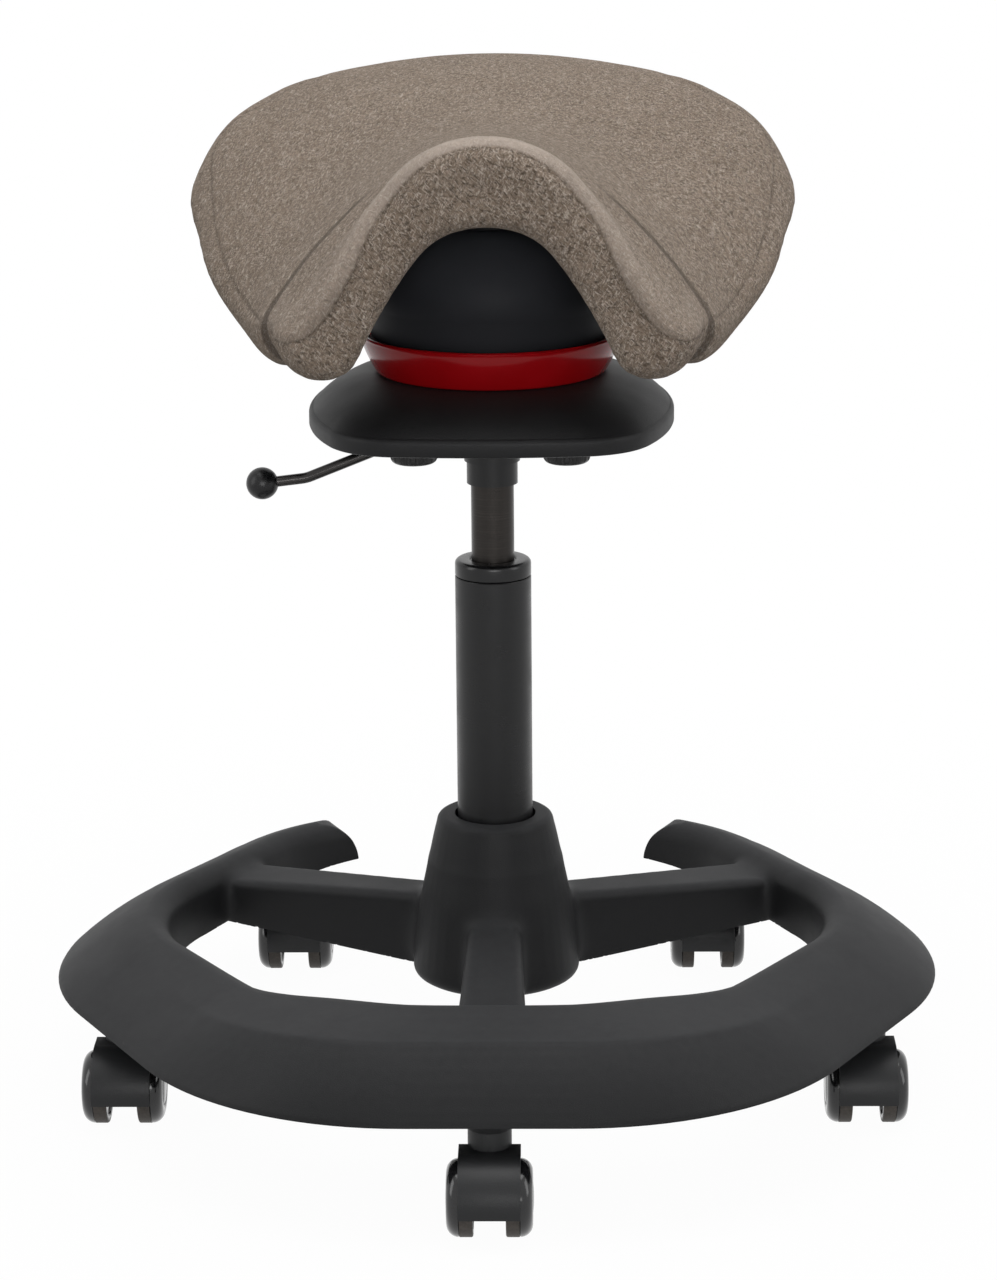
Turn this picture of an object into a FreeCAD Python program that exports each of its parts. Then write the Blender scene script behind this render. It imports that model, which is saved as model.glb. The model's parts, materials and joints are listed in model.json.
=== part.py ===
import FreeCAD, Part
import math
import os

# Saddle stool in millimetres: the origin is on the floor under the column and +Z is up.
# The sitter faces -Y, and left and right are as seen by someone who faces the stool.

V = FreeCAD.Vector
X_AXIS = V(1, 0, 0)
Y_AXIS = V(0, 1, 0)
Z_AXIS = V(0, 0, 1)

# Clearances
RUNNING_FIT = 0.06      # radial, a shaft that turns or slides in its hole
SEATED_FIT = 0.03       # radial, a piece pressed or screwed into another
FACE_GAP = 0.3          # between faces that pass each other
SEAT_GAP = 0.5          # under the pad, where it lies on its shell

# Casters
CASTER_INSET = 26       # from the ring's outer edge to the circle of the stems
CASTER_ANGLES = {"front": 0, "front_right": 72, "rear_right": 144, "rear_left": 216, "front_left": 288}
WHEEL_R = 24
WHEEL_WIDTH = 16.4
WHEEL_SHOULDER = 8
WHEEL_CAP = 4
WHEEL_GAP = 1.2
WEB_WIDTH = 19.4
AXLE_R = 3
TRAIL = 16
HOOD_WALL = 3.3
HOOD_WIDTH = 38
HOOD_LIP_Z = 21
HOOD_BACK = -1
HOOD_BACK_DEPTH = 18
WEB_FOOT = 7
WEB_FOOT_Z = 15
COLLAR_R = 13.5
COLLAR_HEIGHT = 11.5
COLLAR_DEPTH = 18
STEM_R = 5.5
STEM_IN_HOOD = 15
STEM_IN_BOSS = 24

# Base moulding: hub, three arms and the open foot ring
BOSS_R = 14
BOSS_SHOW = 9.7
BASE_WALL = 4.5
CREASE_THINNING, FOOT_THINNING = 0.6, 1.5    # walls between the ring's outer face and its hollow
RING_APOTHEM = 281
RING_CORNER_R = 190
RING_END_SWEEP = 34
RING_END_ROUND = 27
HUB_SKIRT = 5.5
HUB_HEIGHT = 112.5
HUB_FOOT_R = 56
HUB_WAIST_R = 47
HUB_WAIST_RISE = 81
HUB_TOP_R = 39
HUB_TOP_ROUND = 5
HUB_FOOT_ROUND = 7
HUB_MOUTH_R = 27
HUB_SLEEVE_WALL = 6
ARM_ANGLES = (0, 120, 240)
ARM_WIDTH_HUB = 33
ARM_WIDTH_RING = 45
ARM_ROUND = 6
ARM_HUB_LOW, ARM_HUB_HIGH = -5, 47
ARM_RING_LOW, ARM_RING_HIGH = 0, 29

# Sections of the foot ring: width, crest's inset from the inner wall and its rise, crease's inset
# from the outer edge and its rise, bow of the tread, bow of the outer face, lift of the foot
FRONT_TREAD = (100, 17, 45, 33, 41, 0.7, 2, 0)
SIDE_TREAD = (78, 17, 40, 38, 29, 1.2, 1, 0)
REAR_TREAD = (74, 17, 34, 34, 24, 1.2, 1, 7)
RING_INNER_ROUND = 15
RING_INNER_SWELL = (0.3, 0.72)
RING_WALL_LEAN = 2
FRONT_TREAD_ANGLES = (8, 85)    # where the front tread starts and ends its change to the side's

# Gas lift
COLUMN_R = 25
COLUMN_WALL = 2.5
COLUMN_FLOOR = 4
COLUMN_RAISE = 8
COLUMN_TAPER = 1.1
COLUMN_SEAT_LENGTH = 90
COLUMN_SHOW = 164
GUIDE_LENGTH = 110
GUIDE_COLLAR = 11
GUIDE_COLLAR_ROUND = 3
CYLINDER_R = 14
CYLINDER_WALL = 2
CYLINDER_CAP = 10
CYLINDER_SHOW = 51
CYLINDER_CONE = 0.6
CYLINDER_CONE_LENGTH = 22
LOWER_TRAVEL = 48
ROD_R = 5
ROD_TAIL = 6
SHOULDER_R = 9
SHOULDER_HEIGHT = 4
PISTON_HEIGHT = 12
PISTON_STOP_GAP = 3
BEARING_R = 15
BEARING_HEIGHT = 8
CLIP_R = 10
CLIP_HEIGHT = 2.5
PIN_R = 4
PIN_SHOW = 8.7
PIN_DEPTH = 10
PIN_SEAT = 6

# Mechanism under the seat
SPACER_WALL = 2.6
SPACER_HEIGHT = 15
SOCKET_WALL = 4.2
SOCKET_HEIGHT = 24
PLATE_HALF = 75
PLATE_CORNER_R = 18
PLATE_THICKNESS = 3
COVER_HALF = 118
COVER_SIDE_R = 210
COVER_FRONT_R = 500
COVER_CORNER_R = 50
COVER_EDGE = 12
COVER_EDGE_ROUND = 4
COVER_SHOULDER = 2.5
COVER_SHOULDER_DROP = 0.5
COVER_RISE = 21
COVER_TOP_R = 76
COVER_TOP_FLATTEN = 0.03
COVER_SWELL = ((0.256, 0.423), (0.575, 0.763), (0.84, 0.949))    # way in and way up
COVER_WALL = 4
COVER_TOP_WALL = 5
KNOB_X, KNOB_Y = 48.5, 55
KNOB_R = 15
KNOB_HEIGHT = 13
KNOB_ROUND = 4
KNOB_FLUTES = 18
KNOB_FLUTE_R = 1.6
KNOB_FLUTE_DEPTH = 0.8
STUD_R = 4
STUD_IN_KNOB = 8
STUD_IN_COVER = 12
STUD_BOSS_R = 8
LEVER_R = 3.5
LEVER_SLOPE = 0.4
LEVER_PIVOT_X = -42
LEVER_BEND_X = -121
LEVER_BEND_R = 24
LEVER_BALL_X = -150
LEVER_BALL_R = 10.5
LEVER_TIP_X = 5
LEVER_PIN_GAP = 0.5
LEVER_BOSS_R = 5.5
LEVER_BOSS_WIDTH = 9
LEVER_PIN_R = 2
LEVER_SLOT_GAP = 0.8
LEVER_SLOT_END = 14
BRACKET_WALL = 3
BRACKET_LENGTH = 24
BRACKET_DROP = 12
BRACKET_STRAP = 2

# Balance joint
BALANCE_FOOT_R = 74
BALANCE_RIM_R = 85
BALANCE_HEIGHT = 25.5
BALANCE_WALL = 3.2
BALANCE_FLARE = 0.62
BALANCE_HUB_WALL = 5
BALANCE_HUB_HEIGHT = 12
BALANCE_FACE_GAP = 0.5
POST_R = 30
POST_HEIGHT = 13
POST_NECK_R = 20
POST_NECK_HEIGHT = 10
BUFFER_INNER_R = 42
BUFFER_OUTER_R = 62
BUFFER_HEIGHT = 6
BALL_R = 13
BALL_RISE = 28
CUP_GAP = 0.1
CUP_OPENING = 3

# Seat
DOME_R = 77.5
DOME_WALL = 4
DOME_RAISE = -4
DOME_SKIRT = 19
DOME_HEIGHT = 72
DOME_TOP_R = 44
DOME_BELLY = (72, 52)
SCREW_SPACING = 22
SCREW_R = 3
SCREW_HEAD_R = 5
SCREW_HEAD_HEIGHT = 3
SCREW_IN_SHELL = 7
SHELL_LIFT = 14
SHELL_THICKNESS = 6
SHELL_REACH = 0.85
SHELL_FRONT_Y, SHELL_BACK_Y = -86, 146
SHELL_BOSS_R = 36
SHELL_BOSS_HEIGHT = 8
NOSE_THICKNESS = 47
NOSE_SHOULDER_INSET = (10, 40)
NOSE_RIM = (42, 12)
NOSE_DROP = 17
WING_THICKNESS = 51
WING_SHOULDER_INSET = (18, 44)
WING_RIM = (34, 20)
WING_DROP = 11
PAD_UNDER_BOW = 2.5
PAD_LEAN = 0.7
WING_RIM_FLARE = 0.25
SLIT_START_X = 72
SLIT_Y = -102
SLIT_WIDTH = 7

# Pad sections from the nose to the back, with heights above the pad's underside at the middle:
# y, crown height, shoulder x and height, edge x and height, bow of the flank, nose share, rounded inset
PAD_ROWS = (
    (-156, 55, 52, 28, 122, -62, 1.0, 1.0, 8),
    (-148, 55, 52, 28, 122, -62, 1.0, 1.0, 0),
    (-125, 56, 58, 28, 128, -60, 3.0, 1.0, 0),
    (-110, 55, 61, 27.5, 131, -60, 5.0, 0.9, 0),
    (-94, 53, 63.5, 26.5, 140, -65, 6.0, 0.4, 0),
    (-40, 49, 82, 20, 157, -64, 7.0, 0.0, 0),
    (0, 51, 98, 22, 175, -50, 8.0, 0.0, 0),
    (40, 59, 114, 33, 188, -31, 9.0, 0.0, 0),
    (80, 69, 126, 46, 198, -14, 10.0, 0.0, 0),
    (120, 75, 132, 56, 192, 7, 11.0, 0.0, 0),
    (148, 75, 108, 61, 158, 34, 7.0, 0.0, 0),
    (163, 75, 92, 64, 132, 46, 5.0, 0.0, 9),
)

# Sizes that follow from those above, then heights from the floor to the seat
CASTER_CIRCLE_R = RING_APOTHEM - CASTER_INSET
HOOD_R = WHEEL_R + WHEEL_GAP + HOOD_WALL
HOOD_ROOF_Z = WHEEL_R + HOOD_R
COLLAR_TOP_Z = HOOD_ROOF_Z + COLLAR_HEIGHT
BOSS_Z = COLLAR_TOP_Z + FACE_GAP
RING_Z = BOSS_Z + BOSS_SHOW
HUB_Z = RING_Z - HUB_SKIRT
HUB_TOP_Z = HUB_Z + HUB_HEIGHT
COLUMN_Z = HUB_Z + COLUMN_RAISE
COLUMN_SEAT_Z = COLUMN_Z + COLUMN_SEAT_LENGTH
COLUMN_TOP_Z = HUB_TOP_Z + COLUMN_SHOW
GUIDE_TOP_Z = COLUMN_TOP_Z + GUIDE_COLLAR
BEARING_Z = COLUMN_Z + COLUMN_FLOOR
SHOULDER_Z = BEARING_Z + BEARING_HEIGHT + RUNNING_FIT
CYLINDER_Z = SHOULDER_Z + SHOULDER_HEIGHT + LOWER_TRAVEL + FACE_GAP
SPACER_Z = GUIDE_TOP_Z + CYLINDER_SHOW
SOCKET_Z = SPACER_Z + SPACER_HEIGHT
CYLINDER_TOP_Z = SOCKET_Z + CYLINDER_CONE_LENGTH
PIN_TOP_Z = CYLINDER_TOP_Z + PIN_SHOW
PLATE_Z = SOCKET_Z + SOCKET_HEIGHT
COVER_Z = PLATE_Z + PLATE_THICKNESS
COVER_TOP_Z = COVER_Z + COVER_EDGE + COVER_RISE
BALANCE_Z = COVER_TOP_Z + BALANCE_FACE_GAP
BALANCE_TOP_Z = BALANCE_Z + BALANCE_HEIGHT
BALL_Z = COVER_TOP_Z + BALL_RISE
DOME_Z = BALL_Z + DOME_RAISE
DOME_TOP_Z = DOME_Z + DOME_HEIGHT
SEAT_Z = DOME_TOP_Z + SHELL_LIFT
LEVER_AXIS_Z = PIN_TOP_Z + LEVER_PIN_GAP + (LEVER_R + LEVER_SLOPE * PIN_R) * math.hypot(1, LEVER_SLOPE)


def save(name, shape):
    """Write one piece of the stool under its own name."""
    shape.exportStep(f"parts/{name}.step")


def wire_through(start, steps, place):
    """Closed wire through lines, given by their end, and arcs, given by their middle and end."""
    edges = []
    here = place(*start)
    for step in steps:
        points = [place(*point) for point in step]
        if len(points) == 1:
            edges.append(Part.LineSegment(here, points[0]).toShape())
        else:
            edges.append(Part.Arc(here, points[0], points[1]).toShape())
        here = points[-1]
    return Part.Wire(edges)


def turned(start, *steps):
    """Solid of revolution about Z of a closed outline of radius and height."""
    outline = wire_through(start, steps, lambda radius, height: V(radius, 0, height))
    return Part.Face(outline).revolve(V(0, 0, 0), Z_AXIS, 360)


def rod(radius, low, high, x=0, y=0):
    """Upright cylinder between two heights."""
    return Part.makeCylinder(radius, high - low, V(x, y, low))


def tube(outer, inner, low, high):
    """Upright tube about the column's axis."""
    return rod(outer, low, high).cut(rod(inner, low, high))


def cross_rod(radius, half_length, centre, axis):
    """Level cylinder, centred on a point."""
    return Part.makeCylinder(radius, 2 * half_length, centre - axis * half_length, axis)


def box(low, high):
    """Box between two corners."""
    size = high - low
    return Part.makeBox(size.x, size.y, size.z, low)


def on_circle(centre, radius, angle):
    """Point of a circle at an angle in degrees, as a plain pair."""
    turn = math.radians(angle)
    return (centre[0] + radius * math.cos(turn), centre[1] + radius * math.sin(turn))


def between(first, second, share):
    """Value or point part of the way from the first to the second."""
    return first + (second - first) * share


def heading(angle):
    """Level direction at an angle from the front, turning towards the right."""
    turn = math.radians(angle)
    return V(math.sin(turn), -math.cos(turn), 0)


def caster_wheel(side):
    """Wheel on one side of the hood, with a rounded outer shoulder and a blind bore for the axle."""
    inner = WEB_WIDTH / 2 + FACE_GAP
    outer = inner + WHEEL_WIDTH
    shoulder = (WHEEL_R - WHEEL_SHOULDER, outer - WHEEL_SHOULDER)
    bore = AXLE_R + RUNNING_FIT
    wheel = turned(
        (0, outer),
        [(0, outer - WHEEL_CAP)],
        [(bore, outer - WHEEL_CAP)],
        [(bore, inner)],
        [(WHEEL_R, inner)],
        [(WHEEL_R, shoulder[1])],
        [on_circle(shoulder, WHEEL_SHOULDER, 45), (shoulder[0], outer)],
        [(0, outer)],
    )
    wheel.rotate(V(0, 0, 0), Y_AXIS, 90 * side)
    wheel.translate(V(0, -TRAIL, WHEEL_R))
    return wheel


def caster_hood():
    """Hood over the wheels: a web between them, a curved mudguard and the swivel collar on top."""
    axle = V(0, -TRAIL, WHEEL_R)
    reach = math.sqrt(HOOD_R**2 - (WHEEL_R - HOOD_LIP_Z) ** 2)
    shell = wire_through(
        (-TRAIL - reach, HOOD_LIP_Z),
        (
            [on_circle((-TRAIL, WHEEL_R), HOOD_R, 145), (-TRAIL, HOOD_ROOF_Z)],
            [(HOOD_BACK, HOOD_ROOF_Z)],
            [(HOOD_BACK, HOOD_ROOF_Z - HOOD_BACK_DEPTH)],
            [(-TRAIL + WEB_FOOT, WEB_FOOT_Z)],
            [(-TRAIL - WEB_FOOT, WEB_FOOT_Z)],
            [(-TRAIL - reach, HOOD_LIP_Z)],
        ),
        lambda y, z: V(-HOOD_WIDTH / 2, y, z),
    )
    hood = Part.Face(shell).extrude(V(HOOD_WIDTH, 0, 0))
    hood = hood.fuse(rod(COLLAR_R, HOOD_ROOF_Z - COLLAR_DEPTH, COLLAR_TOP_Z)).removeSplitter()
    for side in (-1, 1):
        room = Part.makeCylinder(
            WHEEL_R + WHEEL_GAP, HOOD_WIDTH, axle + X_AXIS * (side * WEB_WIDTH / 2), X_AXIS * side
        )
        hood = hood.cut(room)
    hood = hood.cut(rod(STEM_R + SEATED_FIT, HOOD_ROOF_Z - STEM_IN_HOOD, COLLAR_TOP_Z))
    return hood.cut(cross_rod(AXLE_R + SEATED_FIT, WEB_WIDTH, axle, X_AXIS))


def save_casters():
    """Five casters, each with a stem, a hood, an axle and two wheels."""
    reach = WEB_WIDTH / 2 + FACE_GAP + WHEEL_WIDTH - WHEEL_CAP - FACE_GAP
    pieces = {
        "stem": rod(STEM_R, HOOD_ROOF_Z - STEM_IN_HOOD, COLLAR_TOP_Z + STEM_IN_BOSS),
        "hood": caster_hood(),
        "axle": cross_rod(AXLE_R, reach, V(0, -TRAIL, WHEEL_R), X_AXIS),
        "wheel_left": caster_wheel(-1),
        "wheel_right": caster_wheel(1),
    }
    for corner, angle in CASTER_ANGLES.items():
        for name, shape in pieces.items():
            save(f"caster_{corner}_{name}", shape.translated(heading(angle) * CASTER_CIRCLE_R))


def blended(first, second, share):
    """Sizes part of the way from one set to another."""
    return [between(one, other, share) for one, other in zip(first, second)]


def ring_outline(tread, wall):
    """Outline of the foot ring across its run, thinned by a wall for the hollow inside it."""
    width, crest_inset, crest_rise, crease_inset, crease_rise, tread_bow, face_bow, lift = tread
    inner = RING_APOTHEM - width
    foot = RING_Z + lift
    crest = (inner + crest_inset, RING_Z + crest_rise - wall)
    crease = (RING_APOTHEM - crease_inset - CREASE_THINNING * wall, RING_Z + crease_rise - wall)
    outer = (RING_APOTHEM - FOOT_THINNING * wall, foot)
    wall_top = (inner + RING_WALL_LEAN + wall, RING_Z + crest_rise - RING_INNER_ROUND - wall)
    start = (inner + wall, foot - 2 * wall)
    swell_in, swell_up = RING_INNER_SWELL
    crest_middle = (between(wall_top[0], crest[0], swell_in), between(wall_top[1], crest[1], swell_up))
    tread_middle = (between(crest[0], crease[0], 0.5), between(crest[1], crease[1], 0.5) + tread_bow)
    face_middle = tuple(between(near, far, 0.5) + face_bow for near, far in zip(crease, outer))
    return start, (
        [wall_top],
        [crest_middle, crest],
        [tread_middle, crease],
        [face_middle, outer],
        [(outer[0], foot - 2 * wall - 1)],
        [start],
    )


def ring_wire(tread, wall, base, facing):
    """Outline of the ring standing at a point of its run and facing outwards."""
    centre_apothem = RING_APOTHEM - RING_CORNER_R
    start, steps = ring_outline(tread, wall)
    return wire_through(start, steps, lambda d, z: base + facing * (d - centre_apothem) + Z_AXIS * z)


def ring_corner(side):
    """Centre of the ring's rounded corner at an angle from the front."""
    return heading(side) * ((RING_APOTHEM - RING_CORNER_R) / math.cos(math.radians(30)))


def front_share(turn):
    """How far the front tread has changed to the side's at a turn from the front."""
    begin, end = FRONT_TREAD_ANGLES
    share = min(1, max(0, (turn - begin) / (end - begin)))
    return share * share * (3 - 2 * share)


def ring_half(side, wall):
    """One side of the ring from the front tread to the rounded end, by turns straight and round."""
    front_end = blended(FRONT_TREAD, SIDE_TREAD, front_share(60))
    along_rear = blended(SIDE_TREAD, REAR_TREAD, 0.5)
    front = [(turn, blended(FRONT_TREAD, SIDE_TREAD, front_share(turn))) for turn in (0, 15, 30, 45, 60)]
    rear = [
        (turn, blended(along_rear, REAR_TREAD, (turn - 120) / RING_END_SWEEP))
        for turn in (120, 132, 143, 120 + RING_END_SWEEP)
    ]
    corners = {30: front, 90: [(turn, SIDE_TREAD) for turn in (60, 80, 100, 120)], 150: rear}
    pieces = []
    for corner, sections in corners.items():
        place = ring_corner(corner * side)
        wires = [ring_wire(tread, wall, place, heading(turn * side)) for turn, tread in sections]
        pieces.append(Part.makeLoft(wires, True, False))
    for angle, first, last in ((60, front_end, SIDE_TREAD), (120, SIDE_TREAD, along_rear)):
        wires = [
            ring_wire(first, wall, ring_corner((angle - 30) * side), heading(angle * side)),
            ring_wire(last, wall, ring_corner((angle + 30) * side), heading(angle * side)),
        ]
        pieces.append(Part.makeLoft(wires, True, True))
    return pieces


def ring_run(wall):
    """The foot ring, open at the back, from its front tread round both sides."""
    front = Part.Face(ring_wire(FRONT_TREAD, wall, ring_corner(-30), heading(0)))
    middle = front.extrude(ring_corner(30) - ring_corner(-30))
    return middle.fuse(ring_half(-1, wall) + ring_half(1, wall)).removeSplitter()


def ring_end_cutters(inset):
    """What is cut off both ends of the ring, so that each end rounds down to a tip."""
    low = RING_Z + REAR_TREAD[-1]
    far = 2 * RING_CORNER_R
    start = -RING_END_ROUND - inset
    cutters = []
    for side in (-1, 1):
        block = box(V(0, start, 0), V(far, RING_END_ROUND, far))
        nose = Part.makeCylinder(RING_END_ROUND, far, V(0, start, 0), X_AXIS)
        beyond = box(V(0, -inset, -far), V(far, RING_END_ROUND, 0))
        cutter = block.cut(nose).fuse(beyond)
        if side < 0:
            cutter = cutter.mirror(V(0, 0, 0), Y_AXIS)
        cutter.rotate(V(0, 0, 0), Z_AXIS, (120 + RING_END_SWEEP) * side - 90)
        cutter.translate(ring_corner(150 * side) + Z_AXIS * low)
        cutters.append(cutter)
    return cutters


def arm_section(distance, width, low, high, angle):
    """Arch-topped section of an arm at a distance from the column."""
    along = heading(angle)
    side = heading(angle + 90)
    half = width / 2
    centre = (half - ARM_ROUND, high - ARM_ROUND)
    left = (-centre[0], centre[1])
    return wire_through(
        (half, low),
        (
            [(half, centre[1])],
            [on_circle(centre, ARM_ROUND, 45), (centre[0], high)],
            [(left[0], high)],
            [on_circle(left, ARM_ROUND, 135), (-half, centre[1])],
            [(-half, low)],
            [(half, low)],
        ),
        lambda w, z: along * distance + side * w + Z_AXIS * (RING_Z + z),
    )


def arms(wall):
    """Three arms from the hub to the ring, or their hollow where wall is not zero."""
    hub_end = HUB_SLEEVE_WALL + COLUMN_R + wall
    shapes = []
    for angle in ARM_ANGLES:
        tread = FRONT_TREAD if angle == 0 else SIDE_TREAD
        ring_end = RING_APOTHEM - tread[0] + 2 * BASE_WALL - 2 * wall
        inner = arm_section(
            hub_end, ARM_WIDTH_HUB - 2 * wall, ARM_HUB_LOW - 3 * wall, ARM_HUB_HIGH - wall, angle
        )
        outer = arm_section(
            ring_end, ARM_WIDTH_RING - 2 * wall, ARM_RING_LOW - 3 * wall, ARM_RING_HIGH - wall, angle
        )
        shapes.append(Part.makeLoft([inner, outer], True, True))
    return shapes


def column_radius(height):
    """Radius of the column tube, which tapers where it seats in the hub."""
    share = min(1, (height - COLUMN_Z) / COLUMN_SEAT_LENGTH)
    return COLUMN_R - COLUMN_TAPER * (1 - share)


def hub_solid():
    """Cone of the hub with rounded edges, before it is hollowed."""
    foot = (HUB_FOOT_R - HUB_FOOT_ROUND, HUB_Z + HUB_FOOT_ROUND)
    top = (HUB_TOP_R - HUB_TOP_ROUND, HUB_TOP_Z - HUB_TOP_ROUND)
    return turned(
        (0, HUB_Z),
        [(foot[0], HUB_Z)],
        [on_circle(foot, HUB_FOOT_ROUND, -45), (HUB_FOOT_R, foot[1])],
        [(HUB_WAIST_R, HUB_Z + HUB_WAIST_RISE)],
        [(HUB_TOP_R, top[1])],
        [on_circle(top, HUB_TOP_ROUND, 45), (top[0], HUB_TOP_Z)],
        [(0, HUB_TOP_Z)],
        [(0, HUB_Z)],
    )


def hub_hollow():
    """Room inside the hub, round the sleeve that holds the column."""
    sleeve = COLUMN_R + HUB_SLEEVE_WALL
    return turned(
        (sleeve, HUB_Z - 1),
        [(HUB_FOOT_R - BASE_WALL, HUB_Z - 1)],
        [(HUB_FOOT_R - BASE_WALL, HUB_Z + HUB_FOOT_ROUND)],
        [(HUB_WAIST_R - BASE_WALL, HUB_Z + HUB_WAIST_RISE - BASE_WALL)],
        [(sleeve, HUB_Z + HUB_WAIST_RISE - BASE_WALL)],
        [(sleeve, HUB_Z - 1)],
    )


def hub_bore():
    """Tapered seat for the column and the wider mouth above it."""
    foot_r = column_radius(COLUMN_Z) + SEATED_FIT
    seat_r = COLUMN_R + SEATED_FIT
    return turned(
        (0, HUB_Z - 1),
        [(foot_r, HUB_Z - 1)],
        [(foot_r, COLUMN_Z)],
        [(seat_r, COLUMN_SEAT_Z)],
        [(HUB_MOUTH_R, COLUMN_SEAT_Z)],
        [(HUB_MOUTH_R, HUB_TOP_Z + 1)],
        [(0, HUB_TOP_Z + 1)],
        [(0, HUB_Z - 1)],
    )


def save_base():
    """The moulding that carries everything: hub, arms, ring and caster bosses, hollow from below."""
    ring = ring_run(0).cut(ring_end_cutters(0))
    ring_hollow = ring_run(BASE_WALL).cut(ring_end_cutters(BASE_WALL))
    outside = ring.fuse(arms(0) + [hub_solid()])
    base = outside.cut([ring_hollow, hub_hollow()] + arms(BASE_WALL))
    spots = [heading(angle) * CASTER_CIRCLE_R for angle in CASTER_ANGLES.values()]
    for spot in spots:
        tall = rod(BOSS_R, BOSS_Z, RING_Z + FRONT_TREAD[2], spot.x, spot.y)
        below = rod(BOSS_R, BOSS_Z, RING_Z + REAR_TREAD[-1] + BASE_WALL, spot.x, spot.y)
        base = base.fuse(tall.common(ring).fuse(below))
    holes = [
        rod(STEM_R + RUNNING_FIT, BOSS_Z - 1, COLLAR_TOP_Z + STEM_IN_BOSS + FACE_GAP, spot.x, spot.y)
        for spot in spots
    ]
    save("base_moulding", base.cut([hub_bore()] + holes).removeSplitter())


def save_column():
    """Stand tube in the hub, with the plastic guide that shows as a collar on its top."""
    inner = COLUMN_R - COLUMN_WALL
    stand = turned(
        (ROD_R + RUNNING_FIT, COLUMN_Z),
        [(column_radius(COLUMN_Z), COLUMN_Z)],
        [(COLUMN_R, COLUMN_SEAT_Z)],
        [(COLUMN_R, COLUMN_TOP_Z)],
        [(inner, COLUMN_TOP_Z)],
        [(inner, COLUMN_Z + COLUMN_FLOOR)],
        [(ROD_R + RUNNING_FIT, COLUMN_Z + COLUMN_FLOOR)],
        [(ROD_R + RUNNING_FIT, COLUMN_Z)],
    )
    save("column_tube", stand)
    bore = CYLINDER_R + RUNNING_FIT
    edge = (COLUMN_R - GUIDE_COLLAR_ROUND, GUIDE_TOP_Z - GUIDE_COLLAR_ROUND)
    guide = turned(
        (bore, COLUMN_TOP_Z - GUIDE_LENGTH),
        [(inner - SEATED_FIT, COLUMN_TOP_Z - GUIDE_LENGTH)],
        [(inner - SEATED_FIT, COLUMN_TOP_Z)],
        [(COLUMN_R, COLUMN_TOP_Z)],
        [(COLUMN_R, edge[1])],
        [on_circle(edge, GUIDE_COLLAR_ROUND, 45), (edge[0], GUIDE_TOP_Z)],
        [(bore, GUIDE_TOP_Z)],
        [(bore, COLUMN_TOP_Z - GUIDE_LENGTH)],
    )
    save("guide_bush", guide)
    save("thrust_bearing", tube(BEARING_R, ROD_R + RUNNING_FIT, BEARING_Z, BEARING_Z + BEARING_HEIGHT))


def save_gas_spring():
    """Piston rod that swivels on the bearing, and the gas cylinder that rises on it."""
    bore = CYLINDER_R - CYLINDER_WALL
    pin_bottom = CYLINDER_TOP_Z - PIN_DEPTH
    rod_top = pin_bottom - CYLINDER_CAP - LOWER_TRAVEL - PISTON_STOP_GAP
    shaft = rod(ROD_R, COLUMN_Z - ROD_TAIL, rod_top)
    shoulder = rod(SHOULDER_R, SHOULDER_Z, SHOULDER_Z + SHOULDER_HEIGHT)
    piston = rod(bore - RUNNING_FIT, rod_top - PISTON_HEIGHT, rod_top)
    save("piston_rod", shaft.fuse([shoulder, piston]).removeSplitter())
    clip_top = COLUMN_Z - FACE_GAP
    save("rod_clip", tube(CLIP_R, ROD_R + SEATED_FIT, clip_top - CLIP_HEIGHT, clip_top))
    cylinder = turned(
        (ROD_R + RUNNING_FIT, CYLINDER_Z),
        [(CYLINDER_R, CYLINDER_Z)],
        [(CYLINDER_R, SOCKET_Z)],
        [(CYLINDER_R - CYLINDER_CONE, CYLINDER_TOP_Z)],
        [(PIN_R + RUNNING_FIT, CYLINDER_TOP_Z)],
        [(PIN_R + RUNNING_FIT, pin_bottom)],
        [(0, pin_bottom)],
        [(0, pin_bottom - CYLINDER_CAP)],
        [(bore, pin_bottom - CYLINDER_CAP)],
        [(bore, CYLINDER_Z + CYLINDER_CAP)],
        [(ROD_R + RUNNING_FIT, CYLINDER_Z + CYLINDER_CAP)],
        [(ROD_R + RUNNING_FIT, CYLINDER_Z)],
    )
    save("gas_cylinder", cylinder)
    save("release_pin", rod(PIN_R, CYLINDER_TOP_Z - PIN_SEAT, PIN_TOP_Z))


def soft_square(half, side_r, front_r, corner_r, height):
    """Level outline of a square with bowed sides and rounded corners, all arcs tangent to each other."""
    side_centre = V(half - side_r, 0, 0)
    front_centre = V(0, half - front_r, 0)
    way = front_centre - side_centre
    reach = side_r - corner_r
    along = (way.Length**2 + reach**2 - (front_r - corner_r) ** 2) / (2 * way.Length)
    across = math.sqrt(reach**2 - along**2)
    way.normalize()
    corner = side_centre + way * along + V(-way.y, way.x, 0) * across
    on_side = side_centre + (corner - side_centre).normalize() * side_r
    on_front = front_centre + (corner - front_centre).normalize() * front_r
    peak = corner + ((on_side + on_front) * 0.5 - corner).normalize() * corner_r
    steps = (
        [(peak.x, peak.y), (on_front.x, on_front.y)],
        [(0, half), (-on_front.x, on_front.y)],
        [(-peak.x, peak.y), (-on_side.x, on_side.y)],
        [(-half, 0), (-on_side.x, -on_side.y)],
        [(-peak.x, -peak.y), (-on_front.x, -on_front.y)],
        [(0, -half), (on_front.x, -on_front.y)],
        [(peak.x, -peak.y), (on_side.x, -on_side.y)],
        [(half, 0), (on_side.x, on_side.y)],
    )
    return wire_through((on_side.x, on_side.y), steps, lambda x, y: V(x, y, height))


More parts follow.
